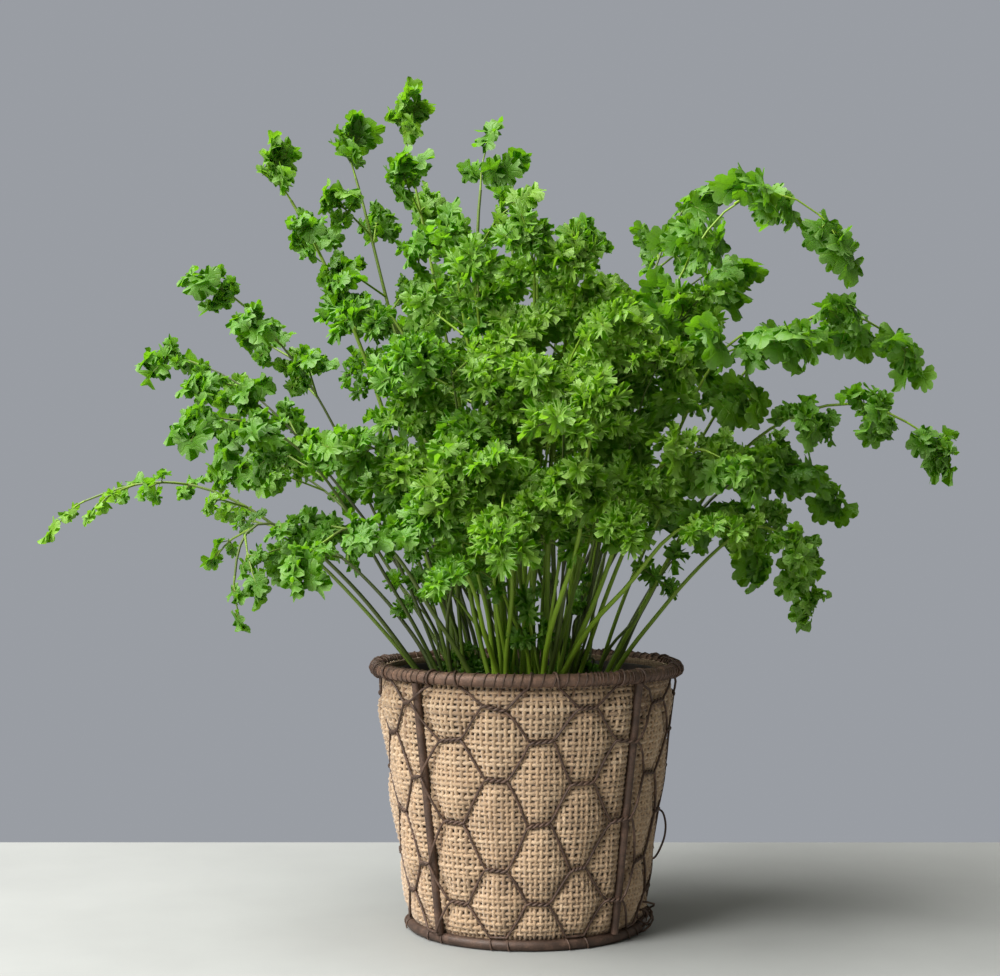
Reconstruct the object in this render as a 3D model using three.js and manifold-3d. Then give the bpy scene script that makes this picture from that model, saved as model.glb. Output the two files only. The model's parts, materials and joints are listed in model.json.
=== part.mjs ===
// Potted parsley in a round wire basket lined with burlap.
// Millimetres, +Z up. The origin is the middle of the basket's base, on the surface it stands on.
// The basket is a top hoop, a bottom hoop, four upright ribs, a base cross and hexagonal netting.
// Inside it stand a burlap liner, a plastic grow pot and the soil, and the parsley grows from the soil.

import * as THREE from 'three';
import { mergeVertices } from 'three/addons/utils/BufferGeometryUtils.js';
import Module from 'manifold-3d';

const wasm = await Module();
wasm.setup();

// Driving dimensions of the basket
const BASKET_HEIGHT = 110;
const TOP_DIAMETER = 130;
const BASE_DIAMETER = 100;
const TOP_HOOP_WIRE = 5.2;
const BASE_HOOP_WIRE = 4.4;
const RIB_WIRE = 3.4;
const RIB_AZIMUTHS = [45, 135, 225, 315];
const CROSS_WIDTH = 6;
const CROSS_THICKNESS = 2;
const GAP = 0.3;

// Netting: hexagons with level twists, ten to a row
const NET_CELLS = 10;
const NET_LEVELS = 6;
const NET_WIRE = 1.1;

// Liner, grow pot and soil
const LINER_WALL = 1.4;
const LINER_WAIST_TOP = 61;
const LINER_WAIST_BASE = 46.6;
const POT_WALL = 1.0;
const SOIL_TOP = 97;
const ROUND_STEPS = 28;

// Stems and leaves
const STEM_RADIUS = 1.35;
const STEM_STEPS = 5;
const ARCHED_STEM_STEPS = 7;
const ARCHED_LIFT = 20;
const STEM_DEPTH = 12;
const LEAF_THICKNESS = 0.65;
const LEAFLET_LENGTH = 26;
const STALK_HALF_WIDTH = 0.55;
const CLEARANCE = 0.35;
// A spray crosses its own stem only where its stalk joins, which costs few faces.
const JOINT_FACES = 20;
const FACE_TOLERANCE = 0.03;

// Colours
const WIRE_COLOUR = 0x4a3a32;
const BURLAP_COLOUR = 0xb69a7c;
const PLASTIC_COLOUR = 0x17140f;
const SOIL_COLOUR = 0x2c1f15;
const LEAF_COLOUR = 0x4c7a22;

const HOOP_SIDES = 6;
const TOP_HOOP_RADIUS = TOP_DIAMETER / 2 - TOP_HOOP_WIRE / 2;
const BASE_HOOP_RADIUS = BASE_DIAMETER / 2 - BASE_HOOP_WIRE / 2;
// A six-sided hoop has flat sides above and below, nearer its middle than its corners are.
const SIX_SIDED_FLAT = Math.cos(Math.PI / 6);
const TOP_HOOP_HEIGHT = BASKET_HEIGHT - (TOP_HOOP_WIRE / 2) * SIX_SIDED_FLAT;
const BASE_HOOP_HEIGHT = (BASE_HOOP_WIRE / 2) * SIX_SIDED_FLAT;
const RIB_BOTTOM = 2 * BASE_HOOP_HEIGHT + GAP;
const RIB_TOP = BASKET_HEIGHT - TOP_HOOP_WIRE * SIX_SIDED_FLAT - GAP;

const group = new THREE.Group();

// Repeatable random numbers from 0 to 1, one series for each frond
function randomSeries(seed) {
  let state = (seed * 7919 + 104729) % 4294967296;
  return () => {
    state = (state * 1664525 + 1013904223) % 4294967296;
    return state / 4294967296;
  };
}

function radians(degrees) {
  return (degrees * Math.PI) / 180;
}

function solidOf(geometry) {
  const plain = geometry.clone();
  plain.deleteAttribute('normal');
  plain.deleteAttribute('uv');
  const merged = mergeVertices(plain, 1e-4);
  return new wasm.Manifold(new wasm.Mesh({
    numProp: 3,
    vertProperties: new Float32Array(merged.attributes.position.array),
    triVerts: new Uint32Array(merged.index.array),
  }));
}

function geometryOf(solid) {
  const mesh = solid.simplify(FACE_TOLERANCE).getMesh();
  const geometry = new THREE.BufferGeometry();
  geometry.setAttribute('position', new THREE.BufferAttribute(mesh.vertProperties, 3));
  geometry.setIndex(new THREE.BufferAttribute(mesh.triVerts, 1));
  geometry.computeVertexNormals();
  return geometry;
}

function addMesh(name, geometry, colour, roughness, metalness) {
  const material = new THREE.MeshStandardMaterial({ color: colour, roughness, metalness });
  const mesh = new THREE.Mesh(geometry, material);
  mesh.name = name;
  group.add(mesh);
  return mesh;
}

// A round shell or disc, turned about the upright axis
function turned(profile, steps = ROUND_STEPS) {
  const points = profile.map(([radius, height]) => new THREE.Vector2(radius, height));
  return new THREE.LatheGeometry(points, steps).rotateX(Math.PI / 2);
}

// The liner's outer radius at a height
function linerRadius(height) {
  const share = height / BASKET_HEIGHT;
  return LINER_WAIST_BASE + (LINER_WAIST_TOP - LINER_WAIST_BASE) * share;
}

// Hoops: six-sided rings, the base hoop standing on one flat side
function makeHoop(name, ringRadius, wire, height) {
  const ring = new THREE.TorusGeometry(ringRadius, wire / 2, HOOP_SIDES, ROUND_STEPS);
  ring.translate(0, 0, height);
  addMesh(name, ring, WIRE_COLOUR, 0.6, 0.7);
}

// Ribs: straight rods from hoop to hoop, just outside the liner
function makeRib(name, azimuth) {
  const direction = new THREE.Vector3(Math.cos(radians(azimuth)), Math.sin(radians(azimuth)), 0);
  const section = new THREE.Shape();
  for (let side = 0; side < 6; side += 1) {
    const angle = (side * Math.PI) / 3;
    const x = (RIB_WIRE / 2) * Math.cos(angle);
    const y = (RIB_WIRE / 2) * Math.sin(angle);
    if (side === 0) {
      section.moveTo(x, y);
    } else {
      section.lineTo(x, y);
    }
  }
  const rod = new THREE.ExtrudeGeometry(section, { depth: RIB_TOP - RIB_BOTTOM, bevelEnabled: false });
  rod.rotateZ(radians(azimuth));
  // The rod leans by sliding each end outwards to its hoop, so its ends stay level.
  const bottomRadius = linerRadius(RIB_BOTTOM) + GAP + RIB_WIRE / 2;
  const topRadius = linerRadius(RIB_TOP) + GAP + RIB_WIRE / 2;
  const place = rod.attributes.position;
  for (let i = 0; i < place.count; i += 1) {
    const share = place.getZ(i) / (RIB_TOP - RIB_BOTTOM);
    const out = bottomRadius + (topRadius - bottomRadius) * share;
    place.setXYZ(
      i,
      place.getX(i) + direction.x * out,
      place.getY(i) + direction.y * out,
      place.getZ(i) + RIB_BOTTOM,
    );
  }
  addMesh(name, rod, WIRE_COLOUR, 0.6, 0.7);
}

// Base cross: two flat bars across the inside of the base hoop
function makeBaseCross() {
  const reach = (BASE_HOOP_RADIUS - BASE_HOOP_WIRE / 2) * Math.cos(Math.PI / ROUND_STEPS) - GAP;
  const half = CROSS_WIDTH / 2;
  const length = Math.sqrt(reach * reach - half * half);
  const outline = new THREE.Shape();
  outline.moveTo(length, -half);
  for (let arm = 0; arm < 4; arm += 1) {
    const turn = (arm * Math.PI) / 2;
    const corners = [[length, -half], [length, half], [half, half]];
    for (const [x, y] of corners) {
      outline.lineTo(x * Math.cos(turn) - y * Math.sin(turn), x * Math.sin(turn) + y * Math.cos(turn));
    }
  }
  const cross = new THREE.ExtrudeGeometry(outline, { depth: CROSS_THICKNESS, bevelEnabled: false });
  cross.rotateZ(Math.PI / 4);
  addMesh('base_cross', cross, WIRE_COLOUR, 0.6, 0.7);
}

// Netting: hexagons round the basket. Each level holds ten short level twists, and slanting wires
// join the ends of the twists of one level to those of the next.
// At each end of a twist three wires meet, so it has a corner towards each of three hexagons: one
// beside it, one above and one below. All corners have an outer and an inner point.
function makeNetting() {
  const ends = NET_CELLS * 4;
  const bottom = RIB_BOTTOM + NET_WIRE;
  const levelHeight = (RIB_TOP - NET_WIRE - bottom) / NET_LEVELS;
  const cornerReach = NET_WIRE / 2 / Math.sin(Math.PI / 3);
  const bisector = radians(119);
  const vertices = [];
  const triangles = [];
  const cornerOf = new Map();

  function netRadius(end, height) {
    const atRib = (end % (ends / 4)) * 2 === ends / 4;
    const stack = atRib ? 2 * GAP + RIB_WIRE : GAP;
    const sag = atRib ? 0.1 : 0.35;
    return linerRadius(height) + stack + sag + NET_WIRE / 2;
  }

  function corner(level, end, toward) {
    const wrapped = (end + ends) % ends;
    const isEdge = (level === 0 && toward !== 'above') || (level === NET_LEVELS && toward !== 'below');
    const key = `${level} ${wrapped} ${isEdge ? 'edge' : toward}`;
    if (!cornerOf.has(key)) {
      const isRightEnd = (wrapped + 2 * (level % 2)) % 4 === 1;
      const outward = isRightEnd ? 1 : -1;
      let across = outward;
      let up = 0;
      if (isEdge) {
        across = -outward * Math.cos(bisector);
        up = level === 0 ? -1 : 1;
      } else if (toward !== 'beside') {
        across = outward * Math.cos(bisector);
        up = (toward === 'above' ? 1 : -1) * Math.sin(bisector);
      }
      const height = bottom + levelHeight * level + cornerReach * up;
      const radius = netRadius(wrapped, height);
      const azimuth = (wrapped / ends) * 2 * Math.PI + (cornerReach * across) / radius;
      for (const depth of [NET_WIRE / 2, -NET_WIRE / 2]) {
        const out = radius + depth;
        vertices.push(out * Math.cos(azimuth), out * Math.sin(azimuth), height);
      }
      cornerOf.set(key, vertices.length / 3 - 2);
    }
    return cornerOf.get(key);
  }

  function face(a, b, c) {
    triangles.push(a, b, c);
    triangles.push(a + 1, c + 1, b + 1);
  }

  // A wire between two corners at each end, given anticlockwise from outside
  function strut(a, b, c, d) {
    face(a, b, c);
    face(a, c, d);
    for (const [from, to] of [[a, b], [c, d]]) {
      triangles.push(from, from + 1, to + 1);
      triangles.push(from, to + 1, to);
    }
  }

  for (let level = 0; level <= NET_LEVELS; level += 1) {
    for (let end = 0; end < ends; end += 1) {
      const phase = (end + 2 * (level % 2)) % 4;
      if (phase > 1) {
        continue;
      }
      const beside = corner(level, end, 'beside');
      const above = corner(level, end, 'above');
      const below = corner(level, end, 'below');
      if (phase === 0) {
        const right = end + 1;
        strut(below, corner(level, right, 'below'), corner(level, right, 'above'), above);
        if (level > 0 && level < NET_LEVELS) {
          face(beside, below, above);
        }
        if (level < NET_LEVELS) {
          strut(above, corner(level + 1, end - 1, 'beside'), corner(level + 1, end - 1, 'below'), beside);
        }
      } else {
        if (level > 0 && level < NET_LEVELS) {
          face(beside, above, below);
        }
        if (level < NET_LEVELS) {
          strut(beside, corner(level + 1, end + 1, 'below'), corner(level + 1, end + 1, 'beside'), above);
        }
      }
    }
  }
  const netting = new wasm.Manifold(new wasm.Mesh({
    numProp: 3,
    vertProperties: new Float32Array(vertices),
    triVerts: new Uint32Array(triangles),
  }));
  addMesh('wire_netting', geometryOf(netting), WIRE_COLOUR, 0.6, 0.7);
}

// Liner: a burlap cup whose lip turns in under the top hoop
function makeLiner() {
  const floor = CROSS_THICKNESS + GAP;
  const lipRadius = TOP_HOOP_RADIUS - TOP_HOOP_WIRE / 2 - GAP;
  const lipStart = RIB_TOP - 1;
  const shoulder = lipStart - 3;
  const footRadius = linerRadius(floor) - 2.6;
  const wall = LINER_WALL;
  const outer = [
    [footRadius, floor],
    [linerRadius(7), 7],
    [linerRadius(shoulder), shoulder],
    [lipRadius, lipStart],
    [lipRadius, BASKET_HEIGHT - 1.5],
  ];
  const inner = [
    [lipRadius - wall, BASKET_HEIGHT - 1.5],
    [lipRadius - wall, lipStart - wall / 2],
    [linerRadius(7) - wall, 7 + wall],
    [footRadius - wall, floor + wall],
  ];
  const profile = [[0, floor], ...outer, ...inner, [0, floor + wall]];
  addMesh('burlap_liner', turned(profile), BURLAP_COLOUR, 0.95, 0);
  return { lipInner: lipRadius - wall, floorTop: floor + wall, footInner: footRadius - wall };
}

// Grow pot: a thin plastic cup with four drain holes, standing on the liner's floor
function potRadius(height, liner) {
  const top = liner.lipInner - GAP - 0.3;
  const base = liner.footInner - GAP - 0.3;
  const bottom = liner.floorTop + GAP;
  return base + ((top - base) * (height - bottom)) / (BASKET_HEIGHT - 4 - bottom);
}

function makeGrowPot(liner) {
  const bottom = liner.floorTop + GAP;
  const rim = BASKET_HEIGHT - 4;
  const profile = [
    [0, bottom],
    [potRadius(bottom, liner), bottom],
    [potRadius(rim, liner), rim],
    [potRadius(rim, liner) - POT_WALL, rim],
    [potRadius(bottom, liner) - POT_WALL, bottom + POT_WALL],
    [0, bottom + POT_WALL],
  ];
  let pot = solidOf(turned(profile));
  for (let hole = 0; hole < 4; hole += 1) {
    const drill = new THREE.CylinderGeometry(4, 4, 6, 6).rotateX(Math.PI / 2);
    drill.translate(24 * Math.cos(hole * Math.PI / 2), 24 * Math.sin(hole * Math.PI / 2), bottom);
    pot = pot.subtract(solidOf(drill));
  }
  addMesh('grow_pot', geometryOf(pot), PLASTIC_COLOUR, 0.5, 0);
}

// Fronds: each is one leafy stem
// Every row gives the frond's tip, how far out its bend is (0 at the root, 1 at the tip), how high the
// bend stands over the tip, and its number of leaflet pairs.
const OUTER_FRONDS = [
  { tip: [-109, 15, 319], lean: 0.62, lift: -54, pairs: 2 },
  { tip: [-128, -30, 267], lean: 0.5, lift: -42, pairs: 2 },
  { tip: [-156, 30, 241], lean: 0.48, lift: -26, pairs: 3 },
  { tip: [-129, -60, 210], lean: 0.48, lift: -5, pairs: 2 },
  { tip: [-137, 70, 195], lean: 0.48, lift: 0, pairs: 2 },
  { tip: [-197, -15, 168], lean: 0.48, lift: 47, pairs: 3 },
  { tip: [-116, -55, 130], lean: 0.9, lift: 80, pairs: 2 },
  { tip: [-113, 25, 146], lean: 0.5, lift: 24, pairs: 2 },
  { tip: [-86, -85, 155], lean: 0.55, lift: 25, pairs: 2 },
  { tip: [-53, 10, 341], lean: 0.6, lift: -100, pairs: 2 },
  { tip: [-79, 45, 335], lean: 0.55, lift: -95, pairs: 2 },
  { tip: [-18, -20, 321], lean: 1.2, lift: -70, pairs: 2 },
  { tip: [-6, 35, 316], lean: 0.6, lift: -80, pairs: 2 },
  { tip: [-32, -45, 283], lean: 0.55, lift: -50, pairs: 2 },
  { tip: [6, 5, 284], lean: 0.5, lift: -60, pairs: 2 },
  { tip: [28, -35, 280], lean: 0.55, lift: -50, pairs: 2 },
  { tip: [132, -20, 281], lean: 0.39, lift: 69, pairs: 3 },
  { tip: [78, 30, 314], lean: 0.5, lift: -40, pairs: 2 },
  { tip: [95, 65, 284], lean: 0.5, lift: -20, pairs: 2 },
  { tip: [166, 10, 238], lean: 0.47, lift: 52, pairs: 3 },
  { tip: [107, -50, 244], lean: 0.5, lift: 0, pairs: 2 },
  { tip: [170, -20, 199], lean: 0.48, lift: 50, pairs: 3 },
  { tip: [138, 45, 180], lean: 0.53, lift: 30, pairs: 2 },
  { tip: [114, -40, 138], lean: 0.72, lift: 60, pairs: 2 },
  { tip: [101, 6, 152], lean: 0.6, lift: 35, pairs: 2 },
  { tip: [81, -80, 189], lean: 0.5, lift: 20, pairs: 2 },
];

// Inner fronds fill the middle in three tiers, some to the front and some to the back.
const INNER_TIERS = [
  { radiusX: 34, radiusY: 78, height: 272, azimuths: [-125, -90, -55, 60, 115], lift: -45 },
  { radiusX: 66, radiusY: 104, height: 232, azimuths: [-125, -80, -40, 65, 125], lift: 0 },
  { radiusX: 64, radiusY: 116, height: 172, azimuths: [-130, -95, -55, 50, 90, 135], lift: 32 },
];
const TIP_JITTER = 14;
// The last spray reaches the frond's tip from here.
const STEM_SHORT_OF_TIP = 18;
// Sprays turn about their own stalks by up to half of this, so they show from every side.
const SPRAY_TWIST = 90;
// The lower a frond hangs, the nearer to the pot's wall it is rooted.
const ROOT_START = 4;
const ROOT_SPREAD = 28;
const ROOT_REACH = 41;

function frondRows() {
  const rows = [...OUTER_FRONDS];
  const random = randomSeries(500);
  for (const tier of INNER_TIERS) {
    for (const azimuth of tier.azimuths) {
      const x = tier.radiusX * Math.cos(radians(azimuth)) + TIP_JITTER * (random() - 0.5);
      const y = tier.radiusY * Math.sin(radians(azimuth)) + TIP_JITTER * (random() - 0.5);
      const z = tier.height + TIP_JITTER * (random() - 0.5);
      rows.push({ tip: [x, y, z], lean: 0.5, lift: tier.lift, pairs: 2 });
    }
  }
  return rows;
}

// The stem's path: it leaves the soil near the middle and bends over to its tip.
function stemCurve(row) {
  const tip = new THREE.Vector3(...row.tip);
  const reach = Math.hypot(tip.x, tip.y);
  const leanAngle = Math.atan2(reach, tip.z - SOIL_TOP);
  const rootRadius = Math.min(ROOT_REACH, ROOT_START + ROOT_SPREAD * leanAngle);
  const root = new THREE.Vector3(
    (tip.x / reach) * rootRadius,
    (tip.y / reach) * rootRadius,
    SOIL_TOP - STEM_DEPTH,
  );
  const bend = new THREE.Vector3(
    root.x + (tip.x - root.x) * row.lean,
    root.y + (tip.y - root.y) * row.lean,
    tip.z + row.lift,
  );
  const last = tip.clone().sub(bend).normalize();
  const end = tip.clone().addScaledVector(last, -STEM_SHORT_OF_TIP);
  return new THREE.QuadraticBezierCurve3(root, bend, end);
}

function stemSteps(row) {
  return row.lift > ARCHED_LIFT ? ARCHED_STEM_STEPS : STEM_STEPS;
}

// A point of the stem's straight stretches, at a share of its length
function stemPoint(curve, steps, share) {
  const step = Math.min(steps - 1, Math.floor(share * steps));
  const from = curve.getPointAt(step / steps);
  const to = curve.getPointAt((step + 1) / steps);
  return from.lerp(to, share * steps - step);
}

// Where each spray of leaflets leaves the stem, and which way it points
function sprayPlans(row, index) {
  const random = randomSeries(index + 1);
  const plans = [{ at: 1, side: 0, forward: 0, roll: 0, twist: 60 * (random() - 0.5), stalk: 3, scale: 1.05 }];
  for (let pair = 1; pair <= row.pairs; pair += 1) {
    for (const side of [-1, 1]) {
      plans.push({
        at: 1 - 0.125 * pair + 0.03 * (random() - 0.5) + 0.012 * side,
        side,
        forward: 48 - 9 * pair + 14 * (random() - 0.5),
        roll: 22 * random() - 4,
        twist: SPRAY_TWIST * (random() - 0.5),
        stalk: 4 + 5 * pair + 3 * random(),
        scale: 0.86 + 0.2 * random(),
      });
    }
  }
  return plans;
}

// The spray's own axes: along it, across it and out of its upper face
function sprayFrame(curve, steps, plan, extraRoll) {
  const origin = stemPoint(curve, steps, plan.at);
  const ahead = curve.getTangentAt(plan.at);
  const up = new THREE.Vector3(0, 0, 1);
  const outward = new THREE.Vector3(origin.x, origin.y, 0).normalize();
  const across = new THREE.Vector3().crossVectors(up, ahead);
  if (across.length() < 0.3) {
    across.crossVectors(up, outward);
  }
  across.normalize();
  const along = new THREE.Vector3();
  if (plan.side === 0) {
    along.copy(ahead).applyAxisAngle(across, radians(extraRoll));
  } else {
    along.copy(across).multiplyScalar(plan.side);
    along.applyAxisAngle(ahead, -plan.side * radians(plan.roll + extraRoll));
    along.multiplyScalar(Math.cos(radians(plan.forward)));
    along.addScaledVector(ahead, Math.sin(radians(plan.forward)));
  }
  along.normalize();
  const face = up.clone().multiplyScalar(0.8).addScaledVector(outward, 0.6);
  face.addScaledVector(along, -face.dot(along)).normalize();
  face.applyAxisAngle(along, radians(plan.twist));
  const sideways = new THREE.Vector3().crossVectors(face, along);
  return { origin, along, sideways, face };
}

// A spray is one thin arched blade cut to its rib into leaflets, on its own stalk.
// Points are (along, across) as shares of its length, from the stalk's end. The one at a frond's tip
// has five leaflets, and a side spray has two leaflets below a broad three-pointed one.
const LOWER_TIP = [0.08, 0.52];
const LOWER_NOTCH = [0.38, 0.08];
const UPPER_TIP = [0.76, 0.42];
const UPPER_NOTCH = [0.68, 0.1];
const END_TIP = [1, 0];
const SPRAY_KINDS = {
  tip: {
    points: [LOWER_TIP, LOWER_NOTCH, UPPER_TIP, UPPER_NOTCH, END_TIP],
    faces: [
      [0, 2, 3], [0, 3, 1], [2, 4, 6], [3, 7, 5], [2, 6, 7], [2, 7, 3],
      [6, 8, 10], [7, 11, 9], [6, 10, 11], [6, 11, 7], [10, 12, 11],
    ],
    edge: [0, 2, 4, 6, 8, 10, 12, 11, 9, 7, 5, 3, 1],
  },
  side: {
    points: [LOWER_TIP, LOWER_NOTCH, UPPER_TIP, END_TIP],
    faces: [
      [0, 2, 3], [0, 3, 1], [2, 4, 6], [3, 7, 5], [2, 6, 7], [2, 7, 3],
      [6, 8, 10], [6, 10, 7], [7, 10, 9],
    ],
    edge: [0, 2, 4, 6, 8, 10, 9, 7, 5, 3, 1],
  },
};
const SPRAY_DROOP = 0.42;
const SPRAY_SIDE_DROOP = 1.25;
const STALK_SUNK = 0.4;

function sprayPoints(kind, stalk, length) {
  const points = [
    [-STALK_SUNK, -STALK_HALF_WIDTH], [-STALK_SUNK, STALK_HALF_WIDTH],
    [stalk, -STALK_HALF_WIDTH], [stalk, STALK_HALF_WIDTH],
  ];
  for (const [along, across] of kind.points) {
    points.push([stalk + along * length, -across * length]);
    if (across > 0) {
      points.push([stalk + along * length, across * length]);
    }
  }
  return points.map(([along, across]) => {
    const past = Math.max(0, along - stalk) / length;
    const out = Math.abs(across) / length;
    const drop = (SPRAY_DROOP * past * past + SPRAY_SIDE_DROOP * out * out) * length;
    return [along, across, -drop];
  });
}

function spraySolid(kind, frame, stalk, length) {
  const flat = sprayPoints(kind, stalk, length);
  const corners = [];
  for (const shift of [LEAF_THICKNESS / 2, -LEAF_THICKNESS / 2]) {
    for (const [along, across, height] of flat) {
      const corner = frame.origin.clone();
      corner.addScaledVector(frame.along, along);
      corner.addScaledVector(frame.sideways, across);
      corner.addScaledVector(frame.face, height + shift);
      corners.push(corner.x, corner.y, corner.z);
    }
  }
  const under = flat.length;
  const triangles = [];
  for (const [a, b, c] of kind.faces) {
    triangles.push(a, b, c);
    triangles.push(under + a, under + c, under + b);
  }
  for (let i = 0; i < kind.edge.length; i += 1) {
    const here = kind.edge[i];
    const next = kind.edge[(i + 1) % kind.edge.length];
    triangles.push(here, under + here, under + next);
    triangles.push(here, under + next, next);
  }
  return new wasm.Manifold(new wasm.Mesh({
    numProp: 3,
    vertProperties: new Float32Array(corners),
    triVerts: new Uint32Array(triangles),
  }));
}

function stemSection(radius) {
  const section = new THREE.Shape();
  for (let side = 0; side < 3; side += 1) {
    const angle = (side * 2 * Math.PI) / 3;
    if (side === 0) {
      section.moveTo(radius, 0);
    } else {
      section.lineTo(radius * Math.cos(angle), radius * Math.sin(angle));
    }
  }
  return section;
}

function stemSolid(curve, steps) {
  return solidOf(new THREE.ExtrudeGeometry(stemSection(STEM_RADIUS), {
    extrudePath: curve,
    steps,
    bevelEnabled: false,
  }));
}

// The hole that a stem stands in: its buried stretch, a little wider and deeper
function stemHole(curve) {
  const start = curve.getPoint(0);
  const slope = curve.getTangent(0);
  const rise = (STEM_DEPTH + 3) / slope.z;
  const bottom = start.clone().addScaledVector(slope, -CLEARANCE);
  const top = start.clone().addScaledVector(slope, rise);
  return solidOf(new THREE.ExtrudeGeometry(stemSection(STEM_RADIUS + 2 * CLEARANCE + 0.5), {
    extrudePath: new THREE.LineCurve3(bottom, top),
    steps: 1,
    bevelEnabled: false,
  }));
}

function boxesMeet(a, b, margin) {
  for (let axis = 0; axis < 3; axis += 1) {
    if (a.min[axis] > b.max[axis] + margin || b.min[axis] > a.max[axis] + margin) {
      return false;
    }
  }
  return true;
}

function isClear(solid, others) {
  const box = solid.boundingBox();
  for (const other of others) {
    if (boxesMeet(box, other.box, CLEARANCE) && solid.minGap(other.solid, CLEARANCE) < CLEARANCE) {
      return false;
    }
  }
  return true;
}

function joinsNeatly(stem, spray) {
  return stem.add(spray).numTri() - stem.numTri() - spray.numTri() <= JOINT_FACES;
}

// Ways to bend a spray clear of its neighbours: its share of full size, a slide along the stem and
// a turn about the stem, the least change first
const SIZE_SHARES = [1, 0.86, 0.72, 0.58];
const SLIDES = [0, 0.025, -0.025];
const TURNS = [0, 8, -8, 16, -16, 26, -26, 38, -38, 52, -52];

function clearSpray(curve, steps, plan, stem, others) {
  const kind = plan.side === 0 ? SPRAY_KINDS.tip : SPRAY_KINDS.side;
  for (const share of SIZE_SHARES) {
    const length = LEAFLET_LENGTH * plan.scale * share;
    for (const slide of plan.side === 0 ? [0] : SLIDES) {
      const moved = { ...plan, at: plan.at + slide };
      for (const turn of TURNS) {
        const frame = sprayFrame(curve, steps, moved, turn);
        const spray = spraySolid(kind, frame, plan.stalk * share, length);
        if (joinsNeatly(stem, spray) && isClear(spray, others)) {
          return { solid: spray, box: spray.boundingBox() };
        }
      }
    }
  }
  return null;
}

function makeFronds() {
  const rows = frondRows();
  const curves = rows.map(stemCurve);
  const placed = curves.map((curve, index) => {
    const solid = stemSolid(curve, stemSteps(rows[index]));
    return { solid, box: solid.boundingBox() };
  });
  rows.forEach((row, index) => {
    const others = placed.filter((unused, other) => other !== index);
    const stem = placed[index].solid;
    const sprays = [];
    for (const plan of sprayPlans(row, index)) {
      const spray = clearSpray(curves[index], stemSteps(row), plan, stem, [...others, ...sprays]);
      if (spray) {
        sprays.push(spray);
      }
    }
    let frond = stem;
    for (const spray of sprays) {
      frond = frond.add(spray.solid);
    }
    placed[index] = { solid: frond, box: frond.boundingBox() };
    const name = `frond_${String(index + 1).padStart(2, '0')}`;
    addMesh(name, geometryOf(frond), LEAF_COLOUR, 0.6, 0);
  });
  return curves;
}

// Soil: fills the grow pot, with a plain hole for each stem
function makeSoil(liner, curves) {
  const bottom = liner.floorTop + GAP + POT_WALL + GAP;
  const profile = [
    [0, bottom],
    [potRadius(bottom, liner) - POT_WALL - GAP - 0.4, bottom],
    [potRadius(SOIL_TOP, liner) - POT_WALL - GAP - 0.4, SOIL_TOP],
    [0, SOIL_TOP],
  ];
  let soil = solidOf(turned(profile));
  for (const curve of curves) {
    soil = soil.subtract(stemHole(curve));
  }
  addMesh('potting_soil', geometryOf(soil), SOIL_COLOUR, 0.95, 0);
}

makeHoop('top_hoop', TOP_HOOP_RADIUS, TOP_HOOP_WIRE, TOP_HOOP_HEIGHT);
makeHoop('bottom_hoop', BASE_HOOP_RADIUS, BASE_HOOP_WIRE, BASE_HOOP_HEIGHT);
RIB_AZIMUTHS.forEach((azimuth, index) => makeRib(`rib_${index + 1}`, azimuth));
makeBaseCross();
makeNetting();
const liner = makeLiner();
makeGrowPot(liner);
const curves = makeFronds();
makeSoil(liner, curves);

export default group;
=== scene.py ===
"""Potted parsley in a round wire basket lined with burlap: the finished look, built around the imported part.

Metres, +Z up, the front towards -Y. The stems and sprays follow the same rules as the part's own solids.
"""

import json
import math
from collections import namedtuple

import bmesh
import bpy
import numpy as np
from bpy.props import FloatProperty, FloatVectorProperty, IntProperty, PointerProperty
from mathutils import Matrix, Quaternion, Vector, noise

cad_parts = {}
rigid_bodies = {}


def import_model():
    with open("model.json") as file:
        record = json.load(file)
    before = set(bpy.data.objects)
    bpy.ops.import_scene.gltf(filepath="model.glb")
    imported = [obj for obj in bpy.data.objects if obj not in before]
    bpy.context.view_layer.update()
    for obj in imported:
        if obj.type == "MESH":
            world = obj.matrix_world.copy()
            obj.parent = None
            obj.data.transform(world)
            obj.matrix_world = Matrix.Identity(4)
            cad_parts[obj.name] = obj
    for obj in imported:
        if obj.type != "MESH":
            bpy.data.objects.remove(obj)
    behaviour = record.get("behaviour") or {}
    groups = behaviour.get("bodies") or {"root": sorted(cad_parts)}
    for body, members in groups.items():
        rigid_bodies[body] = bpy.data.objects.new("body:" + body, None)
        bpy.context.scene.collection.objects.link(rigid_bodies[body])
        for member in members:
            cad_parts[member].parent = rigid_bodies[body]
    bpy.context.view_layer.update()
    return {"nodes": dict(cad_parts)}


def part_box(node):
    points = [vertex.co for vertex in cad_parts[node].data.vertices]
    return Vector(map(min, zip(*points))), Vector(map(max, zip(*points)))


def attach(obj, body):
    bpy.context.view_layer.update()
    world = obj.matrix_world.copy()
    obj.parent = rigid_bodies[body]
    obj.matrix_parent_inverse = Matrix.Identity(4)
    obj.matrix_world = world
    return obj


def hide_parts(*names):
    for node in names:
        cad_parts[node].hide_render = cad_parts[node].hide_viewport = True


bl_info = {
    "name": "Potted Parsley",
    "version": (1, 0, 0),
    "blender": (4, 5, 0),
    "location": "View3D > Sidebar > Parsley",
    "description": "Builds a potted parsley in a burlap-lined wire basket around its packed part",
    "category": "Object",
}

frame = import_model()
MM = 0.001
TURN = 2 * math.pi
DONE = {"FINISHED"}

# Sizes read from the frame
TOP_LOW, TOP_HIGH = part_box("top_hoop")
BASE_LOW, BASE_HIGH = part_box("bottom_hoop")
RIB_LOW, RIB_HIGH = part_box("rib_1")
SOIL_LOW, SOIL_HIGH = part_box("potting_soil")
POT_LOW, POT_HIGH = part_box("grow_pot")
LINER_LOW, LINER_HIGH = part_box("burlap_liner")
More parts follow.
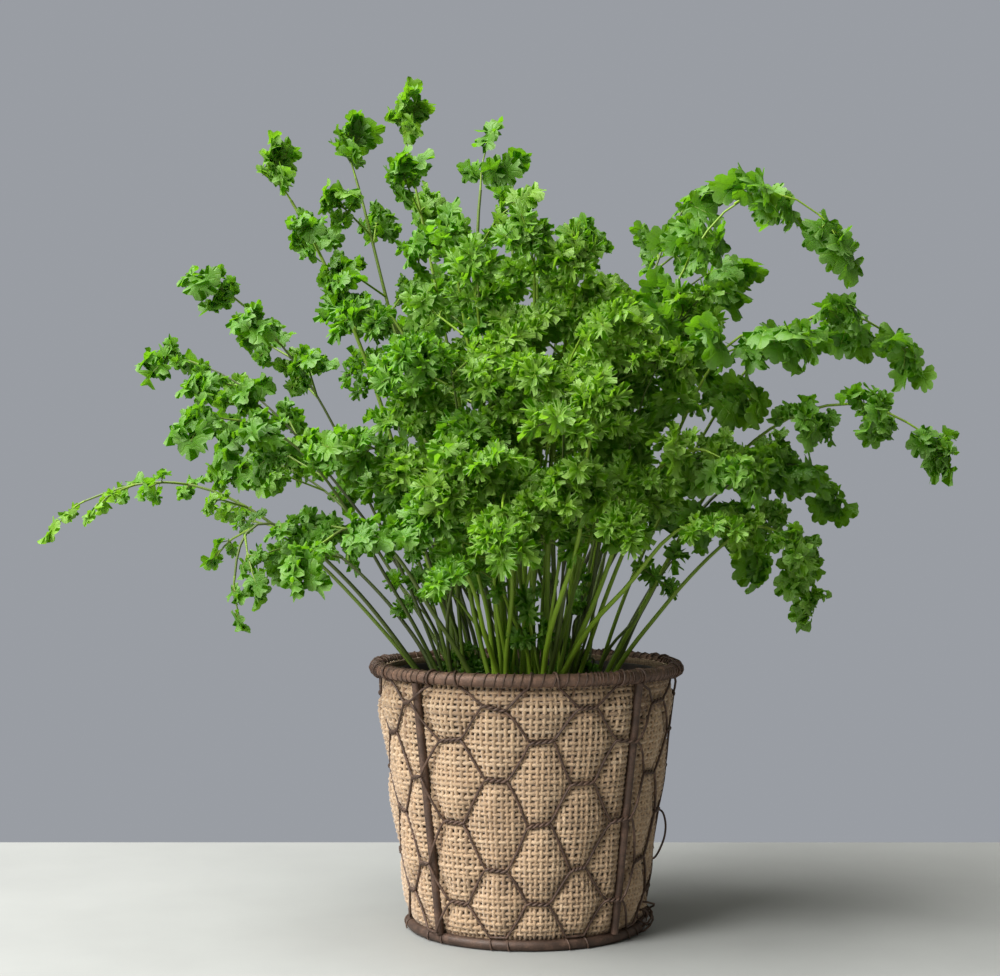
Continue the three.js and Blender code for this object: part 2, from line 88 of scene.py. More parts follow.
# The part's hoops are six-sided, flat above and below.
SIX_SIDED_FLAT = math.cos(math.pi / 6)
TOP_WIRE = (TOP_HIGH.z - TOP_LOW.z) / SIX_SIDED_FLAT
BASE_WIRE = (BASE_HIGH.z - BASE_LOW.z) / SIX_SIDED_FLAT
TOP_RING = TOP_HIGH.x - TOP_WIRE / 2
BASE_RING = BASE_HIGH.x - BASE_WIRE / 2
TOP_RING_HEIGHT = (TOP_HIGH.z + TOP_LOW.z) / 2
BASE_RING_HEIGHT = (BASE_HIGH.z + BASE_LOW.z) / 2
BASKET_HEIGHT = TOP_HIGH.z
SOIL_TOP = SOIL_HIGH.z

# Basket sizes shared with the part
GAP = 0.3 * MM
RIB_WIRE = 3.4 * MM
RIB_AZIMUTHS = (45, 135, 225, 315)
LINER_WAIST_TOP = 61 * MM
LINER_WAIST_BASE = 46.6 * MM
LINER_WAIST = (LINER_WAIST_TOP + LINER_WAIST_BASE) / 2
LINER_TURN_IN = 2.6 * MM
LINER_WALL = 1.4 * MM
POT_WALL = 1.0 * MM
NET_CELLS = 10
NET_LEVELS = 6
NET_ENDS = NET_CELLS * 4
NET_WIRE = 1.1 * MM

# Fronds, in millimetres as in the part: the tip, how far out the bend is, how high the bend stands
# over the tip, the number of leaflet pairs, how dark the stem is, partly purple and partly painted shade on
# stems at the back, and the kind of leaflet
OUTER_FRONDS = (
    ((-109, 15, 319), 0.62, -54, 2, 0.2, "curled"),
    ((-128, -30, 267), 0.5, -42, 2, 0.9, "curled"),
    ((-156, 30, 241), 0.48, -26, 3, 1.0, "curled"),
    ((-129, -60, 210), 0.48, -5, 2, 0.8, "curled"),
    ((-137, 70, 195), 0.48, 0, 2, 0.7, "curled"),
    ((-197, -15, 168), 0.48, 47, 3, 0.6, "sparse"),
    ((-116, -55, 130), 0.9, 80, 2, 0.8, "sparse"),
    ((-113, 25, 146), 0.5, 24, 2, 0.9, "light"),
    ((-86, -85, 155), 0.55, 25, 2, 0.7, "curled"),
    ((-53, 10, 341), 0.6, -100, 2, 0.2, "curled"),
    ((-79, 45, 335), 0.55, -95, 2, 0.4, "curled"),
    ((-18, -20, 321), 1.2, -70, 2, 0.6, "light"),
    ((-6, 35, 316), 0.6, -80, 2, 0.2, "light"),
    ((-32, -45, 283), 0.55, -50, 2, 0.1, "curled"),
    ((6, 5, 284), 0.5, -60, 2, 0.0, "light"),
    ((28, -35, 280), 0.55, -50, 2, 0.0, "curled"),
    ((132, -20, 281), 0.39, 69, 3, 0.0, "flat"),
    ((78, 30, 314), 0.5, -40, 2, 0.7, "flat"),
    ((95, 65, 284), 0.5, -20, 2, 0.9, "flat"),
    ((166, 10, 238), 0.47, 52, 3, 0.2, "flat"),
    ((107, -50, 244), 0.5, 0, 2, 0.0, "flat"),
    ((170, -20, 199), 0.48, 50, 3, 0.1, "curled"),
    ((138, 45, 180), 0.53, 30, 2, 0.9, "flat"),
    ((114, -40, 138), 0.72, 60, 2, 0.2, "curled"),
    ((101, 6, 152), 0.6, 35, 2, 0.8, "flat"),
    ((81, -80, 189), 0.5, 20, 2, 0.0, "curled"),
)
# Fronds within: half width and half depth of the tier, height of its tips, their azimuths, and the lift
INNER_TIERS = (
    (34, 78, 272, (-125, -90, -55, 60, 115), -45),
    (66, 104, 232, (-125, -80, -40, 65, 125), 0),
    (64, 116, 172, (-130, -95, -55, 50, 90, 135), 32),
)
TIP_JITTER = 14
STEM_SHORT_OF_TIP = 18
STEM_DEPTH = 12
STEM_SWAY = 5.0
SPRAY_TWIST = 90
SPRAY_DROOP = 0.42
SPRAY_SIDE_DROOP = 1.25
ROOT_START = 4
ROOT_SPREAD = 28
ROOT_REACH = 41
# The crowns that the stems rise from, and how far each stem's foot is drawn towards the nearest, as a
# share of the way and at most
CROWNS = ((-28, -6), (-19, 12), (-9, -25), (5, -22), (15, -2), (24, 8), (0, 26), (-4, 4), (12, 18))
CROWN_PULL = 0.8
CROWN_REACH = 14
# Young stems that pass in front of the others: tip, lean and lift, as for the fronds
FRONT_SHOOTS = (((24, -108, 216), 0.72, -48), ((74, -94, 172), 0.55, -8), ((-36, -98, 152), 0.5, 5))
# Low leaves in the shade under the others, with leaves and stems painted dark as painted shade:
# where their sprays are
LOW_SHOOTS = (
    (13, 6, 125),
    (24, -1, 120),
    (35, 5, 127),
    (27, 15, 134),
    (37, 17, 122),
    (-40, -1, 131),
    (-31, 9, 124),
)
# The brightest leaves stand round this place, and as far out from it as this: partly the lighter green of
# young leaves and partly painted light where the light falls on the front of the plant
YOUNG_AND_LIT_HEART = Vector((35, -75, 222))
YOUNG_AND_LIT_REACH = 125


def random_series(seed):
    """Repeatable numbers from 0 to 1, the same series as in the part."""
    state = (seed * 7919 + 104729) % 4294967296

    def draw():
        nonlocal state
        state = (state * 1664525 + 1013904223) % 4294967296
        return state / 4294967296

    return draw


# Settings


class ParsleyBasketSettings(bpy.types.PropertyGroup):
    """Sizes and colours of the wire basket and its liner."""

    net_wire: FloatProperty(
        name="Netting wire",
        description="Thickness of the netting's wire",
        default=NET_WIRE,
        unit="LENGTH",
    )
    thread_pitch: FloatProperty(
        name="Thread pitch",
        description="Distance from one burlap thread to the next",
        default=2.2 * MM,
        unit="LENGTH",
    )
    thread_width: FloatProperty(
        name="Thread width",
        description="Thickness of a burlap thread",
        default=1.8 * MM,
        unit="LENGTH",
    )
    pillow: FloatProperty(
        name="Pillowing",
        description="How far the burlap swells out through the netting",
        default=3.0 * MM,
        unit="LENGTH",
    )
    wire_colour: FloatVectorProperty(
        name="Wire",
        description="Main colour of the rusty wire",
        default=(0.072, 0.041, 0.027),
        subtype="COLOR",
    )
    burlap_colour: FloatVectorProperty(
        name="Burlap",
        description="Main colour of the burlap threads",
        default=(0.565, 0.385, 0.225),
        subtype="COLOR",
    )


class ParsleyPlantSettings(bpy.types.PropertyGroup):
    """Sizes and colours of the parsley and its soil."""

    leaflet_length: FloatProperty(
        name="Spray length",
        description="Length of a full-size spray of leaflets",
        default=26 * MM,
        unit="LENGTH",
    )
    stem_radius: FloatProperty(
        name="Stem radius",
        description="Radius of a stem where it leaves the soil",
        default=1.3 * MM,
        unit="LENGTH",
    )
    leaf_colour: FloatVectorProperty(
        name="Leaf",
        description="Main colour of the leaflets",
        default=(0.104, 0.305, 0.006),
        subtype="COLOR",
    )
    young_colour: FloatVectorProperty(
        name="Young leaf",
        description="Colour of the brightest leaflets",
        default=(0.225, 0.42, 0.018),
        subtype="COLOR",
    )
    stem_colour: FloatVectorProperty(
        name="Stem",
        description="Colour of the bright stems",
        default=(0.2, 0.33, 0.02),
        subtype="COLOR",
    )
    shoots: IntProperty(
        name="Young shoots",
        description="How many short young stems stand among the others",
        default=62,
        min=1,
    )
    crumbs: IntProperty(
        name="Soil crumbs",
        description="How many crumbs lie on the soil",
        default=900,
        min=0,
    )


class ParsleyStageSettings(bpy.types.PropertyGroup):
    """Floor, light and camera."""

    floor_colour: FloatVectorProperty(
        name="Floor",
        description="Colour of the pale floor",
        default=(0.28, 0.285, 0.272),
        subtype="COLOR",
    )
    wall_colour: FloatVectorProperty(
        name="Surroundings",
        description="Colour that is seen all round",
        default=(0.32, 0.337, 0.368),
        subtype="COLOR",
    )
    fill: FloatProperty(
        name="Fill",
        description="Strength of the even light",
        default=0.25,
    )
    key_power: FloatProperty(
        name="Key light",
        description="Power of the main light",
        default=29.5,
        unit="POWER",
    )


# Meshes and node trees


def keep_object(name, data):
    """A new object in the scene."""
    made = bpy.data.objects.new(name, data)
    bpy.context.scene.collection.objects.link(made)
    return made


def mesh_of(name, points, edges=(), faces=()):
    """A mesh from lists of points, edges and faces."""
    mesh = bpy.data.meshes.new(name)
    mesh.from_pydata([tuple(p) for p in points], list(edges), list(faces))
    mesh.update()
    return mesh


def store(mesh, name, kind, values):
    """Puts one value for each point on a mesh."""
    field = "vector" if kind == "FLOAT_VECTOR" else "value"
    layer = mesh.attributes.new(name, kind, "POINT")
    layer.data.foreach_set(field, np.asarray(values).ravel())


def feed(links, socket, value):
    """Joins a socket to another one, or gives it a plain value or a colour."""
    if isinstance(value, bpy.types.NodeSocket):
        links.new(value, socket)
    elif socket.type == "RGBA":
        socket.default_value = (*value, 1.0)
    else:
        socket.default_value = value


class Tree:
    """A node tree under construction. A named input is (name, kind) or (name, kind, default)."""

    def __init__(self, name, *inputs):
        self.group = bpy.data.node_groups.new(name, "GeometryNodeTree")
        add = self.group.interface.new_socket
        for label, kind, *default in (("Geometry", "Geometry"), *inputs):
            made = add(label, in_out="INPUT", socket_type="NodeSocket" + kind)
            for value in default:
                made.default_value = value
        add("Geometry", in_out="OUTPUT", socket_type="NodeSocketGeometry")
        self.given = self.group.nodes.new("NodeGroupInput").outputs
        self.wanted = self.group.nodes.new("NodeGroupOutput").inputs

    def node(self, kind, settings=None, **fed):
        """Adds a node, with its settings, its plain values and the sockets it is fed by."""
        made = self.group.nodes.new(kind if kind.startswith("Function") else "GeometryNode" + kind)
        for key, value in (settings or {}).items():
            setattr(made, key, value)
        for key, value in fed.items():
            feed(self.group.links, made.inputs[key.replace("_", " ")], value)
        return made

    def attribute(self, name, kind):
        """The values stored on the geometry under a name."""
        return self.node("InputNamedAttribute", {"data_type": kind}, Name=name).outputs["Attribute"]

    def swept(self, strands, sides):
        """Lines of points turned into round strands as thick as their points say."""
        curve = self.node("MeshToCurve", Mesh=strands).outputs["Curve"]
        section = self.node("CurvePrimitiveCircle", Resolution=sides, Radius=1.0).outputs["Curve"]
        thickness = self.attribute("thickness", "FLOAT")
        tube = self.node("CurveToMesh", Curve=curve, Profile_Curve=section, Scale=thickness, Fill_Caps=True)
        return self.node("SetShadeSmooth", Geometry=tube.outputs["Mesh"]).outputs["Geometry"]

    def copies(self, points, shapes, **details):
        """A shape from a collection, set on each point."""
        group = self.node("CollectionInfo", Collection=shapes, Separate_Children=True, Reset_Children=True)
        shape = group.outputs["Instances"]
        placed = self.node("InstanceOnPoints", Points=points, Instance=shape, Pick_Instance=True, **details)
        return placed.outputs["Instances"]

    def real(self, geometry, material):
        """The geometry made real, with its material."""
        real = self.node("RealizeInstances", Geometry=geometry).outputs["Geometry"]
        return self.node("SetMaterial", Geometry=real, Material=material).outputs["Geometry"]

    def finish(self, geometry):
        """Joins the last geometry to the tree's output."""
        self.group.links.new(geometry, self.wanted["Geometry"])
        return self.group


def strand_tree():
    """Round strands along lines of points."""
    tree = Tree("strand_tree", ("Sides", "Int", 6), ("Material", "Material"))
    smooth = tree.swept(tree.given["Geometry"], tree.given["Sides"])
    return tree.finish(tree.real(smooth, tree.given["Material"]))


def frond_tree():
    """Stems along lines of points, and leaf shapes on the points that are seats."""
    tree = Tree(
        "frond_tree",
        ("Leaf shapes", "Collection"),
        ("Sides", "Int", 7),
        ("Stem material", "Material"),
        ("Leaf material", "Material"),
    )
    given = tree.given
    seats = tree.attribute("is_seat", "BOOLEAN")
    parted = tree.node("SeparateGeometry", {"domain": "POINT"}, Geometry=given["Geometry"], Selection=seats)
    turn = tree.node("FunctionNodeEulerToRotation", Euler=tree.attribute("turn", "FLOAT_VECTOR"))
    leaves = tree.copies(
        parted.outputs["Selection"],
        given["Leaf shapes"],
        Instance_Index=tree.attribute("shape", "INT"),
        Rotation=turn.outputs["Rotation"],
        Scale=tree.attribute("size", "FLOAT"),
    )
    stems = tree.swept(parted.outputs["Inverted"], given["Sides"])
    both = tree.node("JoinGeometry")
    for geometry, material in ((leaves, "Leaf material"), (stems, "Stem material")):
        tree.group.links.new(tree.real(geometry, given[material]), both.inputs["Geometry"])
    return tree.finish(both.outputs["Geometry"])


def crumb_tree():
    """Crumbs of several shapes strewn over a surface."""
    tree = Tree(
        "crumb_tree",
        ("Crumb shapes", "Collection"),
        ("Per square metre", "Float", 90000.0),
        ("Least size", "Float", 0.4 * MM),
        ("Greatest size", "Float", 1.5 * MM),
        ("Seed", "Int", 3),
        ("Material", "Material"),
    )
    given = tree.given
    seed = given["Seed"]
    density = given["Per square metre"]
    strewn = tree.node("DistributePointsOnFaces", Mesh=given["Geometry"], Density=density, Seed=seed)
    size = tree.node("FunctionNodeRandomValue", {"data_type": "FLOAT"}, Seed=seed)
    tree.group.links.new(given["Least size"], size.inputs[2])
    tree.group.links.new(given["Greatest size"], size.inputs[3])
    turn = tree.node("FunctionNodeRandomValue", {"data_type": "FLOAT_VECTOR"}, Seed=seed)
    turn.inputs[1].default_value = (TURN, TURN, TURN)
    crumbs = tree.copies(
        strewn.outputs["Points"],
        given["Crumb shapes"],
        Rotation=tree.node("FunctionNodeEulerToRotation", Euler=turn.outputs[0]).outputs["Rotation"],
        Scale=size.outputs[1],
    )
    return tree.finish(tree.real(crumbs, given["Material"]))


def grown(name, mesh, build, values):
    """The plain mesh object that a node tree makes from a mesh. A tree has its function's name."""
    group = bpy.data.node_groups.get(build.__name__) or build()
    source = keep_object(name + "_source", mesh)
    modifier = source.modifiers.new("Build", "NODES")
    modifier.node_group = group
    for item in group.interface.items_tree:
        if item.item_type == "SOCKET" and item.in_out == "INPUT" and item.name in values:
            modifier[item.identifier] = values[item.name]
    depsgraph = bpy.context.evaluated_depsgraph_get()
    evaluated = source.evaluated_get(depsgraph)
    result = bpy.data.meshes.new_from_object(evaluated, preserve_all_data_layers=True, depsgraph=depsgraph)
    if not result.polygons:
        raise RuntimeError(f"{name}: the node tree made no faces")
    source.modifiers.remove(modifier)
    bpy.data.objects.remove(source)
    bpy.data.meshes.remove(mesh)
    result.name = name
    return keep_object(name, result)


def strand_mesh(name, strands, seats=()):
    """One mesh of lines, and of loose points that are seats for leaves.

    A strand is (points, radius of each point, tone, closed or not), a seat (place, turn, size, tone, shape).
    """
    points, edges, thickness, tones, along = [], [], [], [], []
    for path, radii, tone, closed in strands:
        start = len(points)
        count = len(path)
        points.extend(path)
        thickness.extend(np.broadcast_to(radii, count))
        tones.extend(np.broadcast_to(tone, count))
        along.extend(np.linspace(0, 1, count))
        edges.extend((start + i, start + i + 1) for i in range(count - 1))
        if closed:
            edges.append((start + count - 1, start))
    lines = len(points)
    places, turns, sizes, seat_tones, shapes = zip(*seats) if seats else [()] * 5
    points.extend(places)
    tones.extend(seat_tones)
    mesh = mesh_of(name, points, edges)
    store(mesh, "tone", "FLOAT", tones)
    for label, values in (("thickness", thickness), ("along", along)):
        store(mesh, label, "FLOAT", [*values, *[0.0] * len(seats)])
    if seats:
        store(mesh, "size", "FLOAT", [0.0] * lines + [*sizes])
        store(mesh, "shape", "INT", [0] * lines + [*shapes])
        store(mesh, "turn", "FLOAT_VECTOR", [(0.0, 0.0, 0.0)] * lines + [tuple(turn) for turn in turns])
        store(mesh, "is_seat", "BOOLEAN", [False] * lines + [True] * len(seats))
    return mesh


def strand_piece(name, strands, sides, material):
    """A piece made of round strands."""
    return grown(name, strand_mesh(name, strands), strand_tree, {"Sides": sides, "Material": material})


def wire_piece(name, strands, sides, material, *nodes):
    """A finished piece made of rusty wire."""
    finish_piece(strand_piece(name, strands, sides, material), "rusty_wire", *nodes)


def shell_of_rings(name, rings):
    """A smooth closed shell through rings of points. The first and last ring are a single point."""
    steps = len(rings[1])
    points = [point for ring in rings for point in ring]
    last = len(points) - 1
    faces = []
    for step in range(steps):
        after = (step + 1) % steps
        faces.append((0, 1 + after, 1 + step))
        for here in range(1, last - steps, steps):
            there = here + steps
            faces.append((here + step, here + after, there + after, there + step))
        faces.append((last - steps + step, last - steps + after, last))
    mesh = mesh_of(name, points, (), faces)
    mesh.shade_smooth()
    return mesh


def finish_piece(piece, slot, *nodes):
    """Says what a piece rides on and hides the solids it stands for. The finish it is given, slot, is not
    used.
    """
    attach(piece, "root")
    if nodes:
        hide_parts(*nodes)


# Materials


class Shader:
    """A material under construction."""

    def __init__(self, name):
        self.material = bpy.data.materials.new(name)
        self.material.use_nodes = True
        self.nodes = self.material.node_tree.nodes
        self.links = self.material.node_tree.links
        self.surface = self.nodes["Principled BSDF"]
        self.place = self.nodes.new("ShaderNodeTexCoord").outputs["Object"]

    def node(self, kind, **fed):
        """Adds a node, with its plain values and the sockets it is fed by."""
        made = self.nodes.new("ShaderNode" + kind)
        for key, value in fed.items():
            feed(self.links, made.inputs[key.replace("_", " ")], value)
        return made

    def set(self, **fed):
        """Gives the surface its colour, roughness and the like."""
        for key, value in fed.items():
            feed(self.links, self.surface.inputs[key.replace("_", " ")], value)

    def noise(self, scale, detail=4.0, roughness=0.6):
        """A noise pattern, in cycles per metre."""
        made = self.node("TexNoise", Scale=scale, Detail=detail, Roughness=roughness, Vector=self.place)
        return made.outputs["Fac"]

    def stored(self, name):
        """A value stored on the mesh."""
        made = self.node("Attribute")
        made.attribute_name = name
        return made.outputs["Fac"]

    def maths(self, operation, *values, clamp=False):
        """One sum on values or sockets."""
        made = self.node("Math")
        made.operation = operation
        made.use_clamp = clamp
        for socket, value in zip(made.inputs, values):
            feed(self.links, socket, value)
        return made.outputs[0]

    def ramp(self, factor, *stops):
        """Colours spread over a value from 0 to 1. A stop is (value, colour), and they rise."""
        made = self.node("ValToRGB", Fac=factor)
        elements = made.color_ramp.elements
        for element, (place, colour) in zip(elements, (stops[0], stops[-1])):
            element.position = place
            element.color = (*colour, 1.0)
        for place, colour in stops[1:-1]:
            elements.new(place).color = (*colour, 1.0)
        return made.outputs["Color"]

    def mix(self, factor, first, second, blend="MIX"):
        """Two colours mixed by a value."""
        made = self.node("Mix")
        made.data_type = "RGBA"
        made.blend_type = blend
        for index, value in ((0, factor), (6, first), (7, second)):
            feed(self.links, made.inputs[index], value)
        return made.outputs[2]

    def spread(self, value, low, high):
        """A value from 0 to 1 brought to another range."""
        return self.node("MapRange", To_Min=low, To_Max=high, Value=value).outputs["Result"]

    def bump(self, height, distance, strength=0.6):
        """Raises the surface by a pattern."""
        normal = self.node("Bump", Distance=distance, Strength=strength, Height=height).outputs["Normal"]
        self.set(Normal=normal)
        return normal

    def either(self, factor, first, second):
        """One surface or another, or some of both."""
        made = self.node("MixShader", Fac=factor)
        self.links.new(first, made.inputs[1])
        self.links.new(second, made.inputs[2])
        return made.outputs["Shader"]


def scaled(colour, factor):
    """A colour made lighter or darker."""
    return tuple(c * factor for c in colour)


def material_named(name, dress, *details):
    """The material of that name, dressed the first time it is asked for."""
    found = bpy.data.materials.get(name)
    if not found:
        shader = Shader(name)
        dress(shader, *details)
        found = shader.material
    return found


def rusty_wire(shader, colour, highlight, metallic):
    """Brown oxidised wire, paler where it is rubbed."""
    blotches = shader.noise(260.0, 5.0)
    specks = shader.noise(1500.0, 3.0)
    worn = shader.maths("MULTIPLY_ADD", specks, 0.45, -0.1)
    mixed = shader.maths("ADD", shader.maths("MULTIPLY", blotches, 0.75), worn, clamp=True)
    rust = shader.ramp(mixed, (0.28, scaled(colour, 0.55)), (0.5, colour), (0.75, scaled(colour, highlight)))
    shader.set(Base_Color=rust, Metallic=metallic, Roughness=shader.spread(blotches, 0.38, 0.78))
    shader.bump(specks, 0.25 * MM, 0.55)


# Burlap where the wires have stained it and painted shade darkens it, burlap at its palest, and how much
# the patches darken it
RUST_STAIN_AND_SHADE = (0.2, 0.105, 0.05)
PALE_BURLAP = (0.74, 0.57, 0.38)
BURLAP_PATCH = (0.6, 0.5, 0.42)
WHITE = (1.0, 1.0, 1.0)


def burlap_yarn(shader, colour):
    """Jute yarn, uneven in colour from thread to thread, with hairy fibres, and rust brown where the wires
    press in, partly rust stain and partly painted shade.
    """
    fibres = shader.noise(2600.0, 4.0, 0.7)
    patches = shader.ramp(shader.noise(55.0, 3.0), (0.3, BURLAP_PATCH), (0.7, WHITE))
    shades = ((0.0, RUST_STAIN_AND_SHADE), (0.22, scaled(colour, 0.68)), (0.5, colour), (1.0, PALE_BURLAP))
    yarn = shader.ramp(shader.stored("tone"), *shades)
    worn = shader.mix(shader.spread(fibres, 0.0, 0.7), yarn, scaled(colour, 0.5))
    lit = shader.mix(0.35, worn, patches, "MULTIPLY")
    shader.set(Base_Color=lit, Roughness=0.92, Sheen_Weight=0.25, Sheen_Roughness=0.6)
    shader.bump(fibres, 0.3 * MM, 0.8)


def shaded_cloth(shader, colour):
    """The inner layer of the cloth, seen through the holes of its weave, painted dark as the painted shade
    behind the threads.
    """
    weave = shader.noise(900.0, 3.0)
    shade = shader.ramp(weave, (0.3, scaled(colour, 0.2)), (0.7, scaled(colour, 0.5)))
    shader.set(Base_Color=shade, Roughness=0.95)
    shader.bump(weave, 0.3 * MM)


def black_plastic(shader):
    """Thin black plastic with a dusting of soil."""
    dust = shader.noise(180.0, 6.0)
    shade = shader.ramp(dust, (0.45, (0.010, 0.008, 0.007)), (0.75, (0.045, 0.028, 0.019)))
    shader.set(Base_Color=shade, Roughness=shader.spread(dust, 0.35, 0.8))
    shader.bump(shader.noise(700.0), 0.1 * MM, 0.4)


def moist_soil(shader):
    """Moist dark peat with redder crumbs."""
    grain = shader.noise(420.0, 8.0, 0.7)
    dark, peat, crumb = (0.008, 0.005, 0.003), (0.026, 0.013, 0.008), (0.075, 0.034, 0.018)
    shade = shader.ramp(grain, (0.35, dark), (0.55, peat), (0.72, crumb))
    shader.set(Base_Color=shade, Roughness=shader.spread(grain, 0.7, 1.0))
    shader.bump(grain, 0.8 * MM, 0.9)


# A purple-brown stem at its foot, in its middle and at its tip, also used as painted shade on stems deep in
# the plant and at its back
DARK_STEM = ((0.0, (0.035, 0.06, 0.015)), (0.4, (0.045, 0.042, 0.03)), (1.0, (0.06, 0.075, 0.03)))


def juicy_stem(shader, colour):
    """Juicy stems: pale lime at the foot, deeper green above, some purple brown, and dark as painted shade on
    stems deep in the plant and at its back.
    """
    along = shader.stored("along")
    lime_unshaded = shader.ramp(along, (0.0, scaled(colour, 1.25)), (0.35, colour), (1.0, scaled(colour, 0.75)))
    base = shader.mix(shader.stored("tone"), lime_unshaded, shader.ramp(along, *DARK_STEM))
    streaks = shader.noise(400.0, 4.0)
    shade = shader.mix(shader.spread(streaks, 0.0, 0.35), base, scaled(colour, 0.4))
    shader.set(Base_Color=shade, Roughness=0.5, Specular_IOR_Level=0.3)
    shader.bump(streaks, 0.15 * MM, 0.4)


# The colour of light that comes through a leaf, and the painted highlight on a leaf's very edge
THROUGH_LEAF = (0.24, 0.54, 0.01)
LEAF_RIM_HIGHLIGHT = (0.33, 0.46, 0.2)


def waxy_leaf(shader, colour, young):
    """Waxy leaf: each leaflet has its own green, with pale veins and light showing through, painted shade at
    the foot of each blade and a painted highlight at its edge.
    """
    uv = shader.node("UVMap")
    uv.uv_map = "leaf"
    split = shader.node("SeparateXYZ", Vector=uv.outputs["UV"])
    out = split.outputs["Y"]
    # The nearer a point is to the middle of its lobe, the nearer to its vein.
    from_vein = shader.maths("SUBTRACT", 0.5, shader.maths("PINGPONG", split.outputs["X"], 0.5))
    vein = shader.maths("SUBTRACT", 1.0, shader.maths("MULTIPLY", from_vein, 9.0), clamp=True)
    tone = shader.maths("MULTIPLY", shader.stored("tone"), 0.7)
    patches = shader.maths("MULTIPLY", shader.noise(120.0, 3.0), 0.45)
    shade = shader.maths("ADD", tone, patches)
    blade = shader.ramp(shade, (0.1, scaled(colour, 0.75)), (0.5, colour), (0.95, young))
    # Painted shade: each blade is darker towards its foot, where the hollows between blades are.
    shaded_foot = shader.mix(shader.spread(out, 0.3, 0.0), blade, scaled(colour, 0.4))
    # Painted highlight: each blade is paler at its very edge, where the curled edges catch the light.
    rim_highlight = shader.maths("MULTIPLY", shader.maths("POWER", out, 3.0), 0.4)
    rim_highlighted = shader.mix(rim_highlight, shaded_foot, LEAF_RIM_HIGHLIGHT)
    veined = shader.mix(shader.maths("MULTIPLY", vein, 0.3), rim_highlighted, scaled(young, 1.1))
    shader.set(Base_Color=veined, Roughness=0.5, Specular_IOR_Level=0.42)
    height = shader.maths("SUBTRACT", shader.noise(700.0, 3.0), shader.maths("MULTIPLY", vein, 0.8))
    normal = shader.bump(height, 0.5 * MM, 0.7)
    glow = shader.node("BsdfTranslucent", Color=shader.mix(0.4, blade, THROUGH_LEAF), Normal=normal)
    both = shader.either(0.5, shader.surface.outputs["BSDF"], glow.outputs["BSDF"])
    # Light that has come through one face of a blade leaves by the other freely.
    inside = shader.node("NewGeometry").outputs["Backfacing"]
    done = shader.either(inside, both, shader.node("BsdfTransparent").outputs["BSDF"])
    shader.links.new(done, shader.nodes["Material Output"].inputs["Surface"])


def pale_floor(shader, colour):
    """Plain pale matt floor."""
    grain = shader.noise(9.0, 6.0)
    shade = shader.ramp(grain, (0.3, scaled(colour, 0.93)), (0.7, scaled(colour, 1.04)))
    shader.set(Base_Color=shade, Roughness=0.6)


def wire_material(scene, name="dark_wire", lighter=1.0, highlight=2.4, metallic=0.2):
    """Rusty wire, so much lighter than that of the ribs and netting."""
    colour = scaled(scene.parsley_basket.wire_colour, lighter)
    return material_named(name, rusty_wire, colour, highlight, metallic)


# The basket's shape

# The tone of every wire: only threads and leaves differ in tone from one to the next
PLAIN = 0.5


def at(azimuth, radius, height):
    """A point round the upright axis."""
    return Vector((radius * math.cos(azimuth), radius * math.sin(azimuth), height))


def circle(radius, height, steps):
    """Points once round the upright axis."""
    return [at(TURN * step / steps, radius, height) for step in range(steps)]


def round_wire(azimuth, ring, height, reach, angle):
    """A point beside a hoop's wire, at an angle round that wire."""
    return at(azimuth, ring + reach * math.cos(angle), height + reach * math.sin(angle))


def between(start, stop, share):
    """An azimuth and a height part of the way from one place to another."""
    return tuple(a + (b - a) * share for a, b in zip(start, stop))


def off_by(azimuth, other):
    """How far one azimuth is from another, from minus half a turn to half a turn."""
    return (azimuth - other + math.pi) % TURN - math.pi


def liner_radius(height):
    """The liner's outer radius at a height."""
    return LINER_WAIST_BASE + (LINER_WAIST_TOP - LINER_WAIST_BASE) * height / BASKET_HEIGHT


def rib_nearness(azimuth, radius):
    """From 1 on a rib to 0 away from it."""
    nearest = min(abs(off_by(azimuth, math.radians(rib))) for rib in RIB_AZIMUTHS)
    return math.exp(-((nearest * radius / (6.5 * MM)) ** 2))


